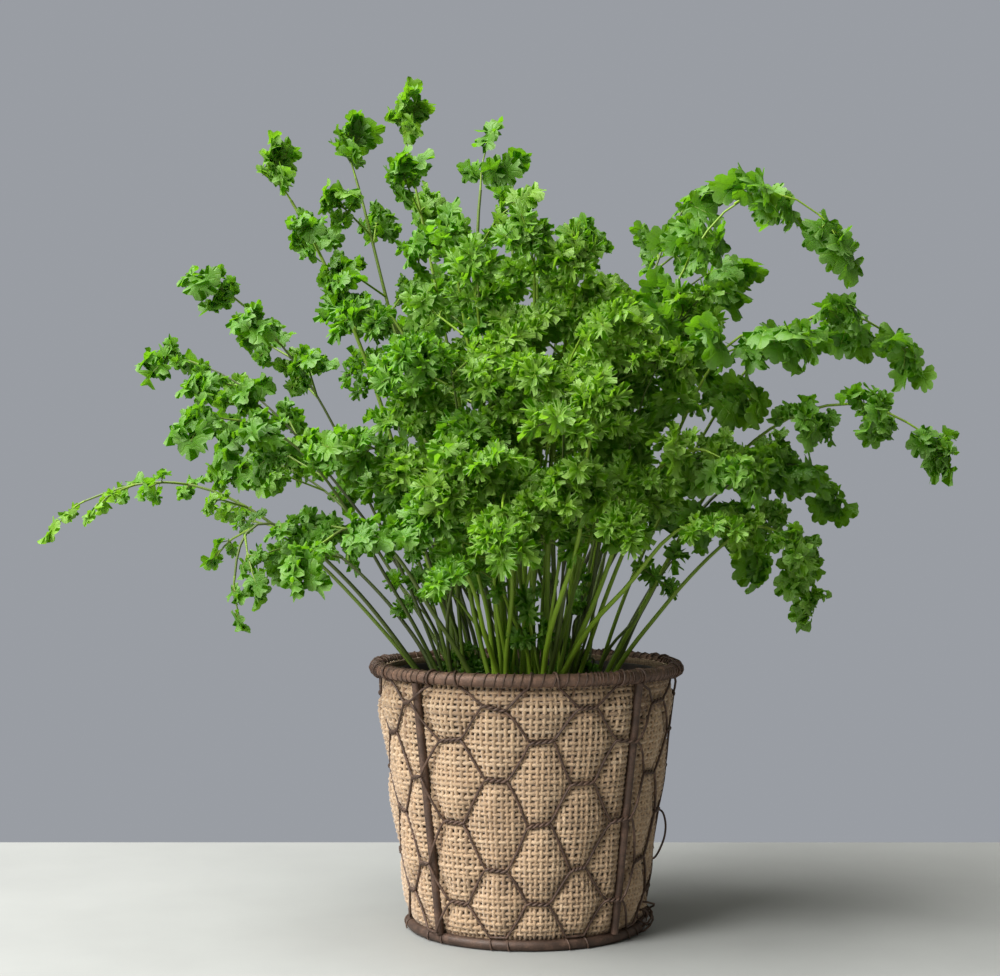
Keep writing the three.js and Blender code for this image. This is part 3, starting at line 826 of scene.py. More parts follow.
class Netting:
    """The netting's knots: each level has ten level twists, and slanting wires join the levels."""

    # How far each level hangs from its even place, in millimetres
    LEVEL_SHIFTS = (0.0, -3.3, -6.0, -3.8, -3.9, -4.6, -7.4)
    UNEVEN_AZIMUTH = 0.036
    UNEVEN_HEIGHT = 2.2 * MM
    # How far the wire is from the burlap, and how much further on a rib
    OFF_BURLAP = 1.2 * MM
    OVER_RIB = 3.5 * MM
    # The azimuth about which the netting stands off the burlap, and over what angle
    PROUD_AZIMUTH = math.radians(-12)
    PROUD_SPREAD = math.radians(30)
    PROUD_BY = 2.2 * MM
    # Near the bottom hoop, up to this height above it, the netting is held to the burlap.
    HELD = 20 * MM
    # How many turns two wires make round each other, at what share of their thickness from the middle, and
    # the points of a twist and of a straight stretch in its place
    TWIST_TURNS = 2
    TWIST_REACH = 0.47
    TWIST_POINTS = 17
    STRAIGHT_POINTS = 4
    SLANT_POINTS = 6
    # How far to the side of its twist a wire passes over the top hoop, and leaves it
    HANGER_SPREAD = 0.17
    HANGER_LEAVES = 0.135

    def __init__(self):
        self.bottom = RIB_LOW.z + NET_WIRE
        self.step = (RIB_HIGH.z - NET_WIRE - self.bottom) / NET_LEVELS
        random = random_series(71)
        self.knots = {}
        for level in range(NET_LEVELS + 1):
            for end in range(NET_ENDS):
                if self.phase(level, end) > 1:
                    continue
                loose = 0.0 if level == 0 else 1.0
                azimuth = TURN * end / NET_ENDS + (random() - 0.5) * self.UNEVEN_AZIMUTH
                height = self.bottom + self.step * level + self.LEVEL_SHIFTS[level] * MM
                height += loose * (random() - 0.5) * self.UNEVEN_HEIGHT
                self.knots[level, end] = (azimuth, height)

    def phase(self, level, end):
        """0 at the left end of a twist, 1 at its right end."""
        return (end + 2 * (level % 2)) % 4

    def knot(self, level, end):
        """Azimuth and height of a twist's end, with the azimuth going on past a full turn."""
        azimuth, height = self.knots[level, end % NET_ENDS]
        return azimuth + TURN * (end // NET_ENDS), height

    def radius(self, azimuth, height):
        """Where the netting's wire runs, outside the burlap and the ribs."""
        base = liner_radius(height)
        lifted = rib_nearness(azimuth, base)
        proud = math.exp(-((off_by(azimuth, self.PROUD_AZIMUTH) / self.PROUD_SPREAD) ** 2))
        proud *= 0.55 + 0.6 * noise.noise(at(azimuth, 2.0, height * 40))
        free = min(1.0, max(0.0, (height - self.bottom) / self.HELD))
        return base + self.OFF_BURLAP + lifted * self.OVER_RIB + proud * free * self.PROUD_BY

    def on(self, azimuth, height):
        """A point of the netting's wire."""
        return at(azimuth, self.radius(azimuth, height), height)

    def wire(self, row):
        """The path of the wire between two levels, once round the basket."""
        path = []
        for cell in range(NET_CELLS):
            low = 4 * cell + 2 * (row % 2)
            for level, left, other, side in ((row, low, row + 1, 1), (row + 1, low + 2, row, -1)):
                path.extend(self.twist(level, left, side))
                path.extend(self.slant(level, left + 1, other, left + 2))
        return path

    def twist(self, level, left, side):
        """A wire's way through a twist: round its partner, or straight at the bottom hoop."""
        turns = self.TWIST_TURNS if level else 0
        count = self.TWIST_POINTS if level else self.STRAIGHT_POINTS
        reach = NET_WIRE * self.TWIST_REACH if level else 0.0
        points = []
        for step in range(count):
            share = step / (count - 1)
            azimuth, height = between(self.knot(level, left), self.knot(level, left + 1), share)
            angle = side * math.pi / 2 + TURN * turns * share
            points.append(round_wire(azimuth, self.radius(azimuth, height), height, reach, angle))
        return points

    def slant(self, level, end, other_level, other_end):
        """The slanting stretch between two twists, slightly bowed."""
        bow = 0.010 * math.sin(7.0 * end + 3.0 * level)
        points = []
        for share in (step / (self.SLANT_POINTS + 1) for step in range(1, self.SLANT_POINTS + 1)):
            azimuth, height = between(self.knot(level, end), self.knot(other_level, other_end), share)
            out = self.radius(azimuth, height)
            points.append(at(azimuth + math.sin(math.pi * share) * bow, out, height))
        return points

    def hook(self, end, side):
        """A wire's way from over the top hoop down to a twist's end."""
        azimuth, height = self.knot(NET_LEVELS, end)
        reach = TOP_WIRE / 2 + NET_WIRE * 0.4
        points = []
        for step in range(9):
            turn = azimuth + side * (self.HANGER_SPREAD - 0.004 * step)
            angle = math.radians(140 - 30 * step)
            points.append(round_wire(turn, TOP_RING, TOP_RING_HEIGHT, reach, angle))
        for share in (0.35, 0.7):
            turn = azimuth + side * self.HANGER_LEAVES * (1 - share)
            points.append(self.on(turn, RIB_HIGH.z + (height - RIB_HIGH.z) * share))
        return points

    def hangers(self):
        """The wires that join the top twists to the top hoop, each hooked over it at both ends."""
        lefts = [end for end in range(NET_ENDS) if self.phase(NET_LEVELS, end) == 0]
        return [
            self.hook(end, -1) + self.twist(NET_LEVELS, end, 1) + self.hook(end + 1, 1)[::-1] for end in lefts
        ]

    def segments(self):
        """All stretches as (azimuth, height) pairs, for the way they press on the burlap."""
        found = []
        for level, end in self.knots:
            here = self.knot(level, end)
            side = -1 if self.phase(level, end) == 0 else 1
            if side < 0:
                found.append((here, self.knot(level, end + 1)))
            if level < NET_LEVELS:
                found.append((here, self.knot(level + 1, end + side)))
            else:
                found.append((here, (here[0] + side * 0.16, RIB_HIGH.z)))
        for azimuth in map(math.radians, RIB_AZIMUTHS):
            found.append(((azimuth, RIB_LOW.z), (azimuth, RIB_HIGH.z)))
        return found


NETTING = Netting()


class Pillowing:
    """How far the burlap swells out at each place, from 0 at the wires to 1 amid the cells."""

    ROUND = 360
    UP = 110
    SOFTNESS = 8.5 * MM
    # Near the hoops the burlap lies flat: below and above these heights, and over this much
    FLAT_BELOW = 3 * MM
    FLAT_ABOVE = 103 * MM
    FLAT_OVER = 7 * MM

    def __init__(self):
        azimuths = np.arange(self.ROUND) * TURN / self.ROUND
        heights = np.linspace(0, BASKET_HEIGHT, self.UP)
        x, y = np.meshgrid(azimuths, heights, indexing="ij")
        nearest = np.full(x.shape, 1.0)
        for (a0, h0), (a1, h1) in NETTING.segments():
            dx = off_by(x, a0) * LINER_WAIST
            dy = y - h0
            ex = (a1 - a0) * LINER_WAIST
            ey = h1 - h0
            share = np.clip((dx * ex + dy * ey) / (ex * ex + ey * ey), 0, 1)
            nearest = np.minimum(nearest, np.hypot(dx - share * ex, dy - share * ey))
        swell = 1 - (1 - np.clip(nearest / self.SOFTNESS, 0, 1)) ** 2.4
        for i, azimuth in enumerate(azimuths):
            for j, height in enumerate(heights):
                swell[i, j] *= 0.85 + 0.5 * noise.noise(at(azimuth, LINER_WAIST, height) * 45.0)
        room = np.minimum(heights - self.FLAT_BELOW, self.FLAT_ABOVE - heights)
        self.swell = swell * np.clip(room / self.FLAT_OVER, 0, 1)[None, :]

    def at(self, azimuth, height):
        """The swelling at a place, between the four nearest grid points."""
        column = (azimuth % TURN) / TURN * self.ROUND
        row = min(max(height / BASKET_HEIGHT, 0.0), 0.9999) * (self.UP - 1)
        i, j = int(column), int(row)
        u, v = column - i, row - j
        here, after = self.swell[i % self.ROUND], self.swell[(i + 1) % self.ROUND]
        low = here[j] * (1 - u) + after[j] * u
        high = here[j + 1] * (1 - u) + after[j + 1] * u
        return low * (1 - v) + high * v


def cloth_profile(height):
    """The cloth's resting radius at a height: it turns in at the foot and under the top hoop."""
    lip = TOP_RING - TOP_WIRE / 2 - GAP
    foot = 7 * MM
    shoulder = RIB_HIGH.z - 4 * MM
    lip_start = RIB_HIGH.z - 1 * MM
    if height < foot:
        share = (height - LINER_LOW.z) / (foot - LINER_LOW.z)
        inner = liner_radius(LINER_LOW.z) - LINER_TURN_IN
        return inner + (liner_radius(foot) - inner) * math.sin(max(share, 0) * math.pi / 2)
    if height < shoulder:
        return liner_radius(height)
    if height < lip_start:
        share = (height - shoulder) / (lip_start - shoulder)
        return liner_radius(shoulder) + (lip - liner_radius(shoulder)) * share
    return lip


# Operators for the basket


class PARSLEY_OT_hoops(bpy.types.Operator):
    """Makes the two round hoops."""

    bl_idname = "parsley.hoops"
    bl_label = "Hoops"

    # Name, radius, wire, height, and how much lighter its wire is than the netting's
    RINGS = (
        ("top_hoop", TOP_RING, TOP_WIRE, TOP_RING_HEIGHT, 1.8),
        ("bottom_hoop", BASE_RING, BASE_WIRE, BASE_RING_HEIGHT, 0.9),
    )
    STEPS = 120
    SIDES = 14
    WOBBLE = 0.25 * MM

    def execute(self, context):
        for name, ring, wire, height, lighter in self.RINGS:
            path = []
            radii = []
            for angle in (TURN * step / self.STEPS for step in range(self.STEPS)):
                wobble = self.WOBBLE * noise.noise(at(angle, 3, height * 50))
                # A round hoop reaches lower than the part's flat-sided one: it still stands on the floor.
                path.append(at(angle, ring + wobble, max(height, wire * 0.505)))
                radii.append(wire / 2 * (0.97 + 0.05 * noise.noise(at(angle, 9.0, height))))
            material = wire_material(context.scene, name, lighter, 2.2, 0.25)
            wire_piece(f"{name}_wire", [(path, radii, PLAIN, True)], self.SIDES, material, name)
        return DONE


class PARSLEY_OT_hoop_wraps(bpy.types.Operator):
    """Winds thin wire round the top hoop, and hooks the netting's ends over the bottom hoop."""

    bl_idname = "parsley.hoop_wraps"
    bl_label = "Wire wraps"

    TURNS = 130
    POINTS_PER_TURN = 8
    SIDES = 5
    # The winding's radius as a share of the thickness of the netting's wire
    FINE = 0.3

    def execute(self, context):
        material = wire_material(context.scene)
        wire = context.scene.parsley_basket.net_wire * self.FINE
        reach = TOP_WIRE / 2 + wire * 0.4
        path = []
        count = self.TURNS * self.POINTS_PER_TURN
        for share in (step / count for step in range(count)):
            azimuth = TURN * share
            uneven = 0.16 * math.sin(3 * azimuth - 0.5) + 0.03 * math.sin(13 * azimuth + 1.0)
            angle = TURN * self.TURNS * share
            path.append(round_wire(azimuth + uneven, TOP_RING, TOP_RING_HEIGHT, reach, angle))
        wire_piece("top_hoop_winding", [(path, wire, PLAIN, True)], self.SIDES, material)
        hooks = []
        for end in range(NET_ENDS):
            if NETTING.phase(0, end) > 1:
                continue
            azimuth, height = NETTING.knot(0, end)
            hook = [NETTING.on(azimuth, height)]
            for step in range(7):
                angle = math.radians(100 - 22 * step)
                turn = azimuth + 0.004 * step
                point = round_wire(turn, BASE_RING, BASE_RING_HEIGHT, BASE_WIRE / 2 + wire, angle)
                point.z = max(point.z, wire * 1.2)
                hook.append(point)
            hooks.append((hook, wire * 1.1, PLAIN, False))
        wire_piece("netting_hooks", hooks, self.SIDES, material)
        return DONE


class PARSLEY_OT_ribs(bpy.types.Operator):
    """Makes the four upright rods, and gives the base cross its finish."""

    bl_idname = "parsley.ribs"
    bl_label = "Ribs and base cross"

    STEPS = 24
    SIDES = 12

    def execute(self, context):
        material = wire_material(context.scene)
        for number, azimuth in enumerate(map(math.radians, RIB_AZIMUTHS), 1):
            path = []
            radii = []
            for step in range(self.STEPS + 1):
                height = RIB_LOW.z + (RIB_HIGH.z - RIB_LOW.z) * step / self.STEPS
                path.append(at(azimuth, liner_radius(height) + GAP + RIB_WIRE / 2, height))
                radii.append(RIB_WIRE / 2 * (0.96 + 0.05 * noise.noise(at(azimuth, 3.0, height * 300))))
            rod = [(path, radii, PLAIN, False)]
            wire_piece(f"rib_rod_{number}", rod, self.SIDES, material, f"rib_{number}")
        cross = frame["nodes"]["base_cross"]
        cross.data.materials.clear()
        cross.data.materials.append(material)
        return DONE


class PARSLEY_OT_netting(bpy.types.Operator):
    """Makes the hexagonal netting from wires that twist round each other in pairs, and its loose ends."""

    bl_idname = "parsley.netting"
    bl_label = "Netting"

    SIDES = 6
    # A twisted wire, a loose one and a tangled one, as shares of the netting's wire
    TWISTED = 0.92
    LOOSE = 0.8
    TANGLED = 0.85
    TANGLE_LOOPS = 9
    TANGLE_STEPS = 14
    TANGLE_SIDES = 5
    TANGLE_AZIMUTH = math.radians(-16)
    # A stray end of wire that stands off the right side, as (outwards, azimuth in degrees, height)
    STRAY = (
        (0.0, 2, 48),
        (2.4, 1, 46.5),
        (4.3, 0, 42),
        (4.6, -1, 37),
        (3.4, -2, 32.5),
        (1.6, -3, 29),
        (-0.1, -4, 28),
    )
    STRAY_POINTS = 24

    def execute(self, context):
        material = wire_material(context.scene)
        radius = context.scene.parsley_basket.net_wire / 2
        twisted = radius * self.TWISTED
        strands = [(NETTING.wire(row), twisted, PLAIN, True) for row in range(NET_LEVELS)]
        strands.extend((path, twisted, PLAIN, False) for path in NETTING.hangers())
        wire_piece("twisted_netting", strands, self.SIDES, material, "wire_netting")
        stray = []
        for out, azimuth, height in self.STRAY:
            angle = math.radians(azimuth)
            stray.append(at(angle, NETTING.radius(angle, height * MM) + out * MM, height * MM))
        loose = [(smooth_path(stray, self.STRAY_POINTS), radius * self.LOOSE, PLAIN, False)]
        wire_piece("stray_wire", loose, self.SIDES, material)
        wire_piece("wire_tangle", self.tangle(radius), self.TANGLE_SIDES, material)
        return DONE

    def tangle(self, radius):
        """Small loops of waste wire by the bottom hoop."""
        random = random_series(61)
        middle = at(self.TANGLE_AZIMUTH, BASE_RING + 2 * MM, 7 * MM)
        loops = []
        for _ in range(self.TANGLE_LOOPS):
            centre = middle + Vector([(random() - 0.5) * 5 * MM for _ in range(3)])
            size = (2.2 + 3.2 * random()) * MM
            tilt = Quaternion((random() - 0.5, random() - 0.5, random() - 0.5), TURN * random())
            loop = []
            for step in range(self.TANGLE_STEPS):
                angle = TURN * step / self.TANGLE_STEPS
                bow = 0.4 * size * math.sin(2 * angle + 1.2 * random())
                point = centre + tilt @ Vector((size * math.cos(angle), size * math.sin(angle), bow))
                point.z = max(point.z, radius)
                loop.append(point)
            loops.append((loop, radius * self.TANGLED, PLAIN, True))
        return loops


def smooth_path(points, count):
    """A smooth line through a few points."""
    padded = [2 * points[0] - points[1], *points, 2 * points[-1] - points[-2]]
    made = []
    for place in np.linspace(0, len(points) - 1, count):
        index = min(int(place), len(points) - 2)
        t = float(place - index)
        a, b, c, d = padded[index : index + 4]
        bends = (2 * a - 5 * b + 4 * c - d) * t * t + (3 * b - a - 3 * c + d) * t * t * t
        made.append(0.5 * (2 * b + (c - a) * t + bends))
    return made


class PARSLEY_OT_burlap(bpy.types.Operator):
    """Weaves the burlap from separate threads, swelling out between the wires, over a thin backing."""

    bl_idname = "parsley.burlap"
    bl_label = "Burlap"

    LOWEST = 3.2 * MM
    HIGHEST = LINER_HIGH.z - 0.3 * MM
    # How far a thread passes over and under the others
    WAVE = 0.36 * MM
    SIDES = 4
    # The strip that the liner is made from: once round the rim and from the rim to under the base
    CUT = (0.377, 0.152)
    CUT_AREA = 0.0465
    # The backing's thickness, how far behind the threads it is, and its steps round and up
    BACKING = 0.35 * MM
    BACKING_GAP = 0.1 * MM
    BACKING_STEPS = 120
    BACKING_RINGS = 48

    def execute(self, context):
        settings = context.scene.parsley_basket
        self.pillows = Pillowing()
        self.pillow = settings.pillow
        self.thread = settings.thread_width / 2
        self.random = random_series(37)
        colour = tuple(settings.burlap_colour)
        material = material_named("burlap_yarn", burlap_yarn, colour)
        warps = 2 * round(TURN * LINER_WAIST / settings.thread_pitch / 2)
        wefts = round((self.HIGHEST - self.LOWEST) / settings.thread_pitch)
        uprights = [self.warp(warp, warps, wefts) for warp in range(warps)]
        warp_piece = strand_piece("burlap_warp", uprights, self.SIDES, material)
        rings = [self.weft(weft, warps, wefts) for weft in range(wefts)]
        weft_piece = strand_piece("burlap_weft", rings, self.SIDES, material)
        cup = self.backing(material_named("burlap_backing", shaded_cloth, colour))
        for piece in (warp_piece, weft_piece):
            finish_piece(piece, "burlap")
        finish_piece(cup, "burlap", "burlap_liner")
        return DONE

    def out(self, azimuth, height):
        """How far out the cloth is, with its swelling."""
        return cloth_profile(height) + self.pillows.at(azimuth, height) * self.pillow

    def stained(self, tone, azimuth, height):
        """A thread's tone at a place: browner near the wires and at the hoops, partly rust stain and partly
        painted shade in the creases where they press the cloth.
        """
        near = 1 - min(1.0, self.pillows.at(azimuth, height))
        blotch = 0.55 + 0.9 * noise.noise(at(azimuth, LINER_WAIST, height) * 60.0)
        return tone - 0.45 * near**1.6 * max(0.2, blotch)

    def woven(self, places, closed):
        """One thread through places given as (azimuth, height, which side of the cloth)."""
        thick = self.thread * (0.82 + 0.3 * self.random())
        tone = 0.15 + 0.7 * self.random()
        sway = self.random() * TURN
        path = []
        radii = []
        tones = []
        for azimuth, height, side in places(sway):
            out = self.out(azimuth, height) - self.thread
            path.append(at(azimuth, out + self.WAVE * side, height))
            tones.append(self.stained(tone, azimuth, height))
            radii.append(thick * (0.92 + 0.16 * self.random()))
        return path, radii, tones, closed

    def warp(self, warp, warps, wefts):
        """An upright thread."""

        def places(sway):
            """Up the thread, past every weft."""
            for step in range(2 * wefts + 1):
                height = self.LOWEST + (self.HIGHEST - self.LOWEST) * step / (2 * wefts)
                drift = 0.0045 * math.sin(60 * height + sway) + 0.002 * math.sin(240 * height + 2 * sway)
                side = 1 if (step // 2 + warp) % 2 == 0 else -1
                yield TURN * warp / warps + drift, height, side * (step % 2)

        return self.woven(places, False)

    def weft(self, weft, warps, wefts):
        """A thread once round."""
        base = self.LOWEST + (self.HIGHEST - self.LOWEST) * (weft + 0.5) / wefts

        def places(sway):
            """Along the thread, past every warp."""
            for step in range(2 * warps):
                azimuth = TURN * step / (2 * warps)
                side = -1 if (weft + step // 2) % 2 == 0 else 1
                yield azimuth, base + 0.25 * MM * math.sin(3 * azimuth + sway), side * (1 - step % 2)

        return self.woven(places, True)

    def backing(self, material):
        """The thin inner layer: a cup with a floor, whose wall follows the threads."""
        steps = self.BACKING_STEPS
        inset = 2 * self.thread + self.BACKING_GAP
        low = LINER_LOW.z + 0.25 * MM
        heights = np.linspace(low, LINER_HIGH.z - 0.2 * MM, self.BACKING_RINGS + 1)[1:]
        layers = []
        for thin in (0, self.BACKING):
            layer = [[Vector((0, 0, low + thin))]]
            for share in (0.35, 0.7, 1.0):
                layer.append(circle((cloth_profile(low) - inset - thin) * share, low + thin, steps))
            for height in map(float, heights):
                turns = [TURN * step / steps for step in range(steps)]
                layer.append([at(turn, self.out(turn, height) - inset - thin, height) for turn in turns])
            layers.append(layer)
        mesh = shell_of_rings("burlap_backing", layers[0] + layers[1][::-1])
        mesh.materials.append(material)
        return keep_object("burlap_backing", mesh)


class PARSLEY_OT_grow_pot(bpy.types.Operator):
    """Makes the thin plastic pot inside the burlap, with a rolled rim and four drain holes."""

    bl_idname = "parsley.grow_pot"
    bl_label = "Grow pot"

    STEPS = 96
    ROLL = 0.7 * MM
    HOLES = 4
    HOLE_SIDES = 20
    HOLE_RADIUS = 4 * MM
    HOLE_REACH = 24 * MM
    # Where the bars that cut the holes begin and end, from the pot's bottom
    DRILL = (-2 * MM, 3 * MM)

    def execute(self, context):
        rim = POT_HIGH.z
        bottom = POT_LOW.z
        roll = self.ROLL
        lip = min(POT_HIGH.x, TOP_RING - TOP_WIRE / 2 - GAP - LINER_WALL) - roll
        foot = liner_radius(LINER_LOW.z) - LINER_TURN_IN - LINER_WALL - 2 * GAP
        wall_top = rim - 2 * roll
        profile = [(foot - roll, bottom), (foot, bottom + roll), (lip, wall_top - 2 * MM)]
        for angle in (math.radians(-60 + 40 * step) for step in range(7)):
            profile.append((lip + roll * math.cos(angle), rim - roll + roll * math.sin(angle)))
        profile.append((lip - POT_WALL, wall_top - 2.5 * MM))
        profile.append((foot - POT_WALL, bottom + POT_WALL + roll))
        profile.append((foot - POT_WALL - roll, bottom + POT_WALL))
        rings = [circle(radius, height, self.STEPS) for radius, height in profile]
        ends = [[Vector((0, 0, height))] for height in (bottom, bottom + POT_WALL)]
        piece = keep_object("grow_pot_shell", shell_of_rings("grow_pot_shell", [ends[0], *rings, ends[1]]))
        drill = keep_object("drain_drill", self.drill(bottom))
        cut = piece.modifiers.new("Drain holes", "BOOLEAN")
        cut.operation = "DIFFERENCE"
        cut.object = drill
        cut.solver = "EXACT"
        depsgraph = bpy.context.evaluated_depsgraph_get()
        holed = bpy.data.meshes.new_from_object(piece.evaluated_get(depsgraph))
        piece.modifiers.remove(cut)
        piece.data = holed
        bpy.data.objects.remove(drill)
        holed.materials.clear()
        holed.materials.append(material_named("grow_pot_plastic", black_plastic))
        finish_piece(piece, "black_plastic", "grow_pot")
        return DONE

    def drill(self, bottom):
        """The four round bars that the drain holes are cut with."""
        points = []
        faces = []
        sides = self.HOLE_SIDES
        for hole in range(self.HOLES):
            centre = at(TURN * hole / self.HOLES, self.HOLE_REACH, 0)
            low = range(len(points), len(points) + sides)
            high = range(low.stop, low.stop + sides)
            for height in self.DRILL:
                points.extend(centre + spot for spot in circle(self.HOLE_RADIUS, bottom + height, sides))
            faces.extend((low[step - 1], low[step], high[step], high[step - 1]) for step in range(sides))
            faces.extend((low[::-1], high))
        return mesh_of("drain_drill", points, (), faces)


class PARSLEY_OT_soil(bpy.types.Operator):
    """Makes the uneven soil and strews crumbs over it."""

    bl_idname = "parsley.soil"
    bl_label = "Soil"

    RINGS = 34
    STEPS = 96
    RADIUS = SOIL_HIGH.x
    # How far below the surface the soil's side ends, and how far from the side no crumb lies
    EDGE_DROP = 2 * MM
    EDGE_CLEAR = 1.5 * MM

    def execute(self, context):
        material = material_named("potting_soil", moist_soil)
        slope = (SOIL_HIGH.z - SOIL_LOW.z) * (LINER_WAIST_TOP - LINER_WAIST_BASE) / BASKET_HEIGHT
        rings = [circle(self.RADIUS - slope, SOIL_LOW.z, self.STEPS)]
        rings.append(circle(self.RADIUS, SOIL_TOP - self.EDGE_DROP, self.STEPS))
        for ring in range(self.RINGS, 0, -1):
            level = circle(self.RADIUS * ring / self.RINGS, 0, self.STEPS)
            rings.append([self.raised(spot) for spot in level])
        foot = [Vector((0, 0, SOIL_LOW.z))]
        mesh = shell_of_rings("soil_bed", [foot, *rings, [self.raised(Vector((0, 0, 0)))]])
        mesh.materials.append(material)
        finish_piece(keep_object("soil_bed", mesh), "soil", "potting_soil")
        points = [point.co for point in mesh.vertices]
        top_start = 1 + 2 * self.STEPS
        within = {
            index
            for index, point in enumerate(points)
            if index >= top_start and math.hypot(point.x, point.y) < self.RADIUS - self.EDGE_CLEAR
        }
        faces = [tuple(face.vertices) for face in mesh.polygons if within.issuperset(face.vertices)]
        shapes = crumb_shapes(material)
        values = {
            "Crumb shapes": shapes,
            "Per square metre": context.scene.parsley_plant.crumbs / (math.pi * self.RADIUS * self.RADIUS),
            "Material": material,
        }
        crumbs = grown("soil_crumbs", mesh_of("soil_crumbs", points, (), faces), crumb_tree, values)
        finish_piece(crumbs, "soil")
        drop_shapes(shapes)
        return DONE

    def raised(self, spot):
        """A point of the soil's surface, a little higher in the middle."""
        share = math.hypot(spot.x, spot.y) / self.RADIUS
        coarse = noise.noise(Vector((spot.x, spot.y, 0)) * 90.0)
        fine = noise.noise(Vector((spot.x, spot.y, 0.4)) * 330.0)
        lift = (0.9 * coarse + 0.5 * fine + 0.8 * (1 - share * share) - 0.6) * MM
        return Vector((spot.x, spot.y, SOIL_TOP + lift))


def shape_group(name, meshes, material):
    """A collection of shapes to be copied."""
    group = bpy.data.collections.new(name)
    for mesh in meshes:
        mesh.materials.append(material)
        group.objects.link(bpy.data.objects.new(mesh.name, mesh))
    return group


def drop_shapes(group):
    """Removes shapes that were only there to be copied."""
    for made in list(group.objects):
        mesh = made.data
        bpy.data.objects.remove(made)
        bpy.data.meshes.remove(mesh)
    bpy.data.collections.remove(group)


CRUMB_KINDS = 4


def crumb_shapes(material):
    """A few small lumpy shapes, about one unit in radius."""
    random = random_series(9)
    corners = []
    golden = (1 + math.sqrt(5)) / 2
    for a in (-1, 1):
        for b in (-golden, golden):
            corners.extend([Vector((0, a, b)), Vector((a, b, 0)), Vector((b, 0, a))])
    meshes = []
    for kind in range(CRUMB_KINDS):
        skin = bmesh.new()
        for corner in corners:
            skin.verts.new(corner.normalized() * (0.7 + 0.5 * random()))
        bmesh.ops.convex_hull(skin, input=skin.verts)
        bmesh.ops.recalc_face_normals(skin, faces=skin.faces)
        mesh = bpy.data.meshes.new(f"crumb_{kind}")
        skin.to_mesh(mesh)
        skin.free()
        meshes.append(mesh)
    return shape_group("crumb shapes", meshes, material)


# The parsley's shape


class StemCurve:
    """A stem's path, in millimetres: a smooth bend from the root to just short of the tip."""

    SAMPLES = 200

    def __init__(self, tip, lean, lift, sway, root=None):
        tip = Vector(tip)
        self.sway = sway
        reach = math.hypot(tip.x, tip.y)
        soil = SOIL_TOP / MM
        spread = min(ROOT_REACH, ROOT_START + ROOT_SPREAD * math.atan2(reach, tip.z - soil))
        foot = root or Vector((tip.x / reach * spread, tip.y / reach * spread, soil - STEM_DEPTH))
        ways = [Vector((x, y, foot.z)) - foot for x, y in CROWNS]
        way = min(ways, key=lambda crown: crown.length)
        self.root = foot + way * min(CROWN_PULL, CROWN_REACH / max(way.length, 1e-6))
        self.bend = self.root + (tip - self.root) * lean
        self.bend.z = tip.z + lift
        self.end = tip - (tip - self.bend).normalized() * STEM_SHORT_OF_TIP
        self.shares = np.linspace(0, 1, self.SAMPLES + 1)
        places = np.array([self.place(t) for t in self.shares])
        steps = np.linalg.norm(np.diff(places, axis=0), axis=1)
        self.lengths = np.concatenate([[0], np.cumsum(steps)])

    def place(self, t):
        """A point of the smooth bend."""
        return self.root * (1 - t) ** 2 + self.bend * 2 * t * (1 - t) + self.end * t * t

    def parameter(self, share):
        """Where on the bend a share of its length ends."""
        return float(np.interp(share * self.lengths[-1], self.lengths, self.shares))

    def point(self, share):
        """The point at a share of the stem's length, a little off the smooth bend."""
        wander = [noise.noise(Vector((share * 2.2, self.sway, 9.3 * axis))) for axis in (1, 2, 3)]
        free = max(0.0, math.sin(math.pi * share)) ** 0.7
        return self.place(self.parameter(share)) + Vector(wander) * (STEM_SWAY * free)

    def ahead(self, share):
        """The way the stem runs there."""
        t = self.parameter(share)
        return ((self.bend - self.root) * (1 - t) + (self.end - self.bend) * t).normalized()


def frond_rows():
    """Every frond: the outer ones as listed, then the tiers within."""
    rows = list(OUTER_FRONDS)
    random = random_series(500)
    for radius_x, radius_y, height, azimuths, lift in INNER_TIERS:
        for angle in map(math.radians, azimuths):
            x = radius_x * math.cos(angle) + TIP_JITTER * (random() - 0.5)
            y = radius_y * math.sin(angle) + TIP_JITTER * (random() - 0.5)
            z = height + TIP_JITTER * (random() - 0.5)
            # Stems at the front middle stay lime; the others get the dark stem colour, as painted shade.
            lime_unshaded = y < 0 and abs(x + 5) < 35
            rows.append(((x, y, z), 0.5, lift, 3, 0.1 if lime_unshaded else 0.75, "inner"))
    return rows


# Where a spray leaves its stem, its pair and side, how it is turned, its stalk and its size
SprayPlan = namedtuple("SprayPlan", "at pair side forward roll twist stalk scale")
# How far one pair of sprays is from the next, as a share of the stem
PAIR_STEP = 0.125


def end_plan(random):
    """The spray at a stem's end."""
    return SprayPlan(1.0, 0, 0, 0, 0, 60 * (random() - 0.5), 3, 1.05)


def spray_plans(pairs, index):
    """Where each spray leaves the stem, and which way it points."""
    random = random_series(index + 1)
    plans = [end_plan(random)]
    for pair in range(1, pairs + 1):
        for side in (-1, 1):
            plans.append(
                SprayPlan(
                    at=1 - PAIR_STEP * pair + 0.03 * (random() - 0.5) + 0.012 * side,
                    pair=pair,
                    side=side,
                    forward=48 - 9 * pair + 14 * (random() - 0.5),
                    roll=22 * random() - 4,
                    twist=SPRAY_TWIST * (random() - 0.5),
                    stalk=4 + 5 * pair + 3 * random(),
                    scale=0.86 + 0.2 * random(),
                )
            )
    return plans


def turned_about(vector, axis, degrees):
    """A vector turned about an axis."""
    return Quaternion(axis, math.radians(degrees)) @ vector


def outward_from(origin):
    """The level way from the plant's middle out to a place."""
    return Vector((origin.x, origin.y, 0)).normalized()


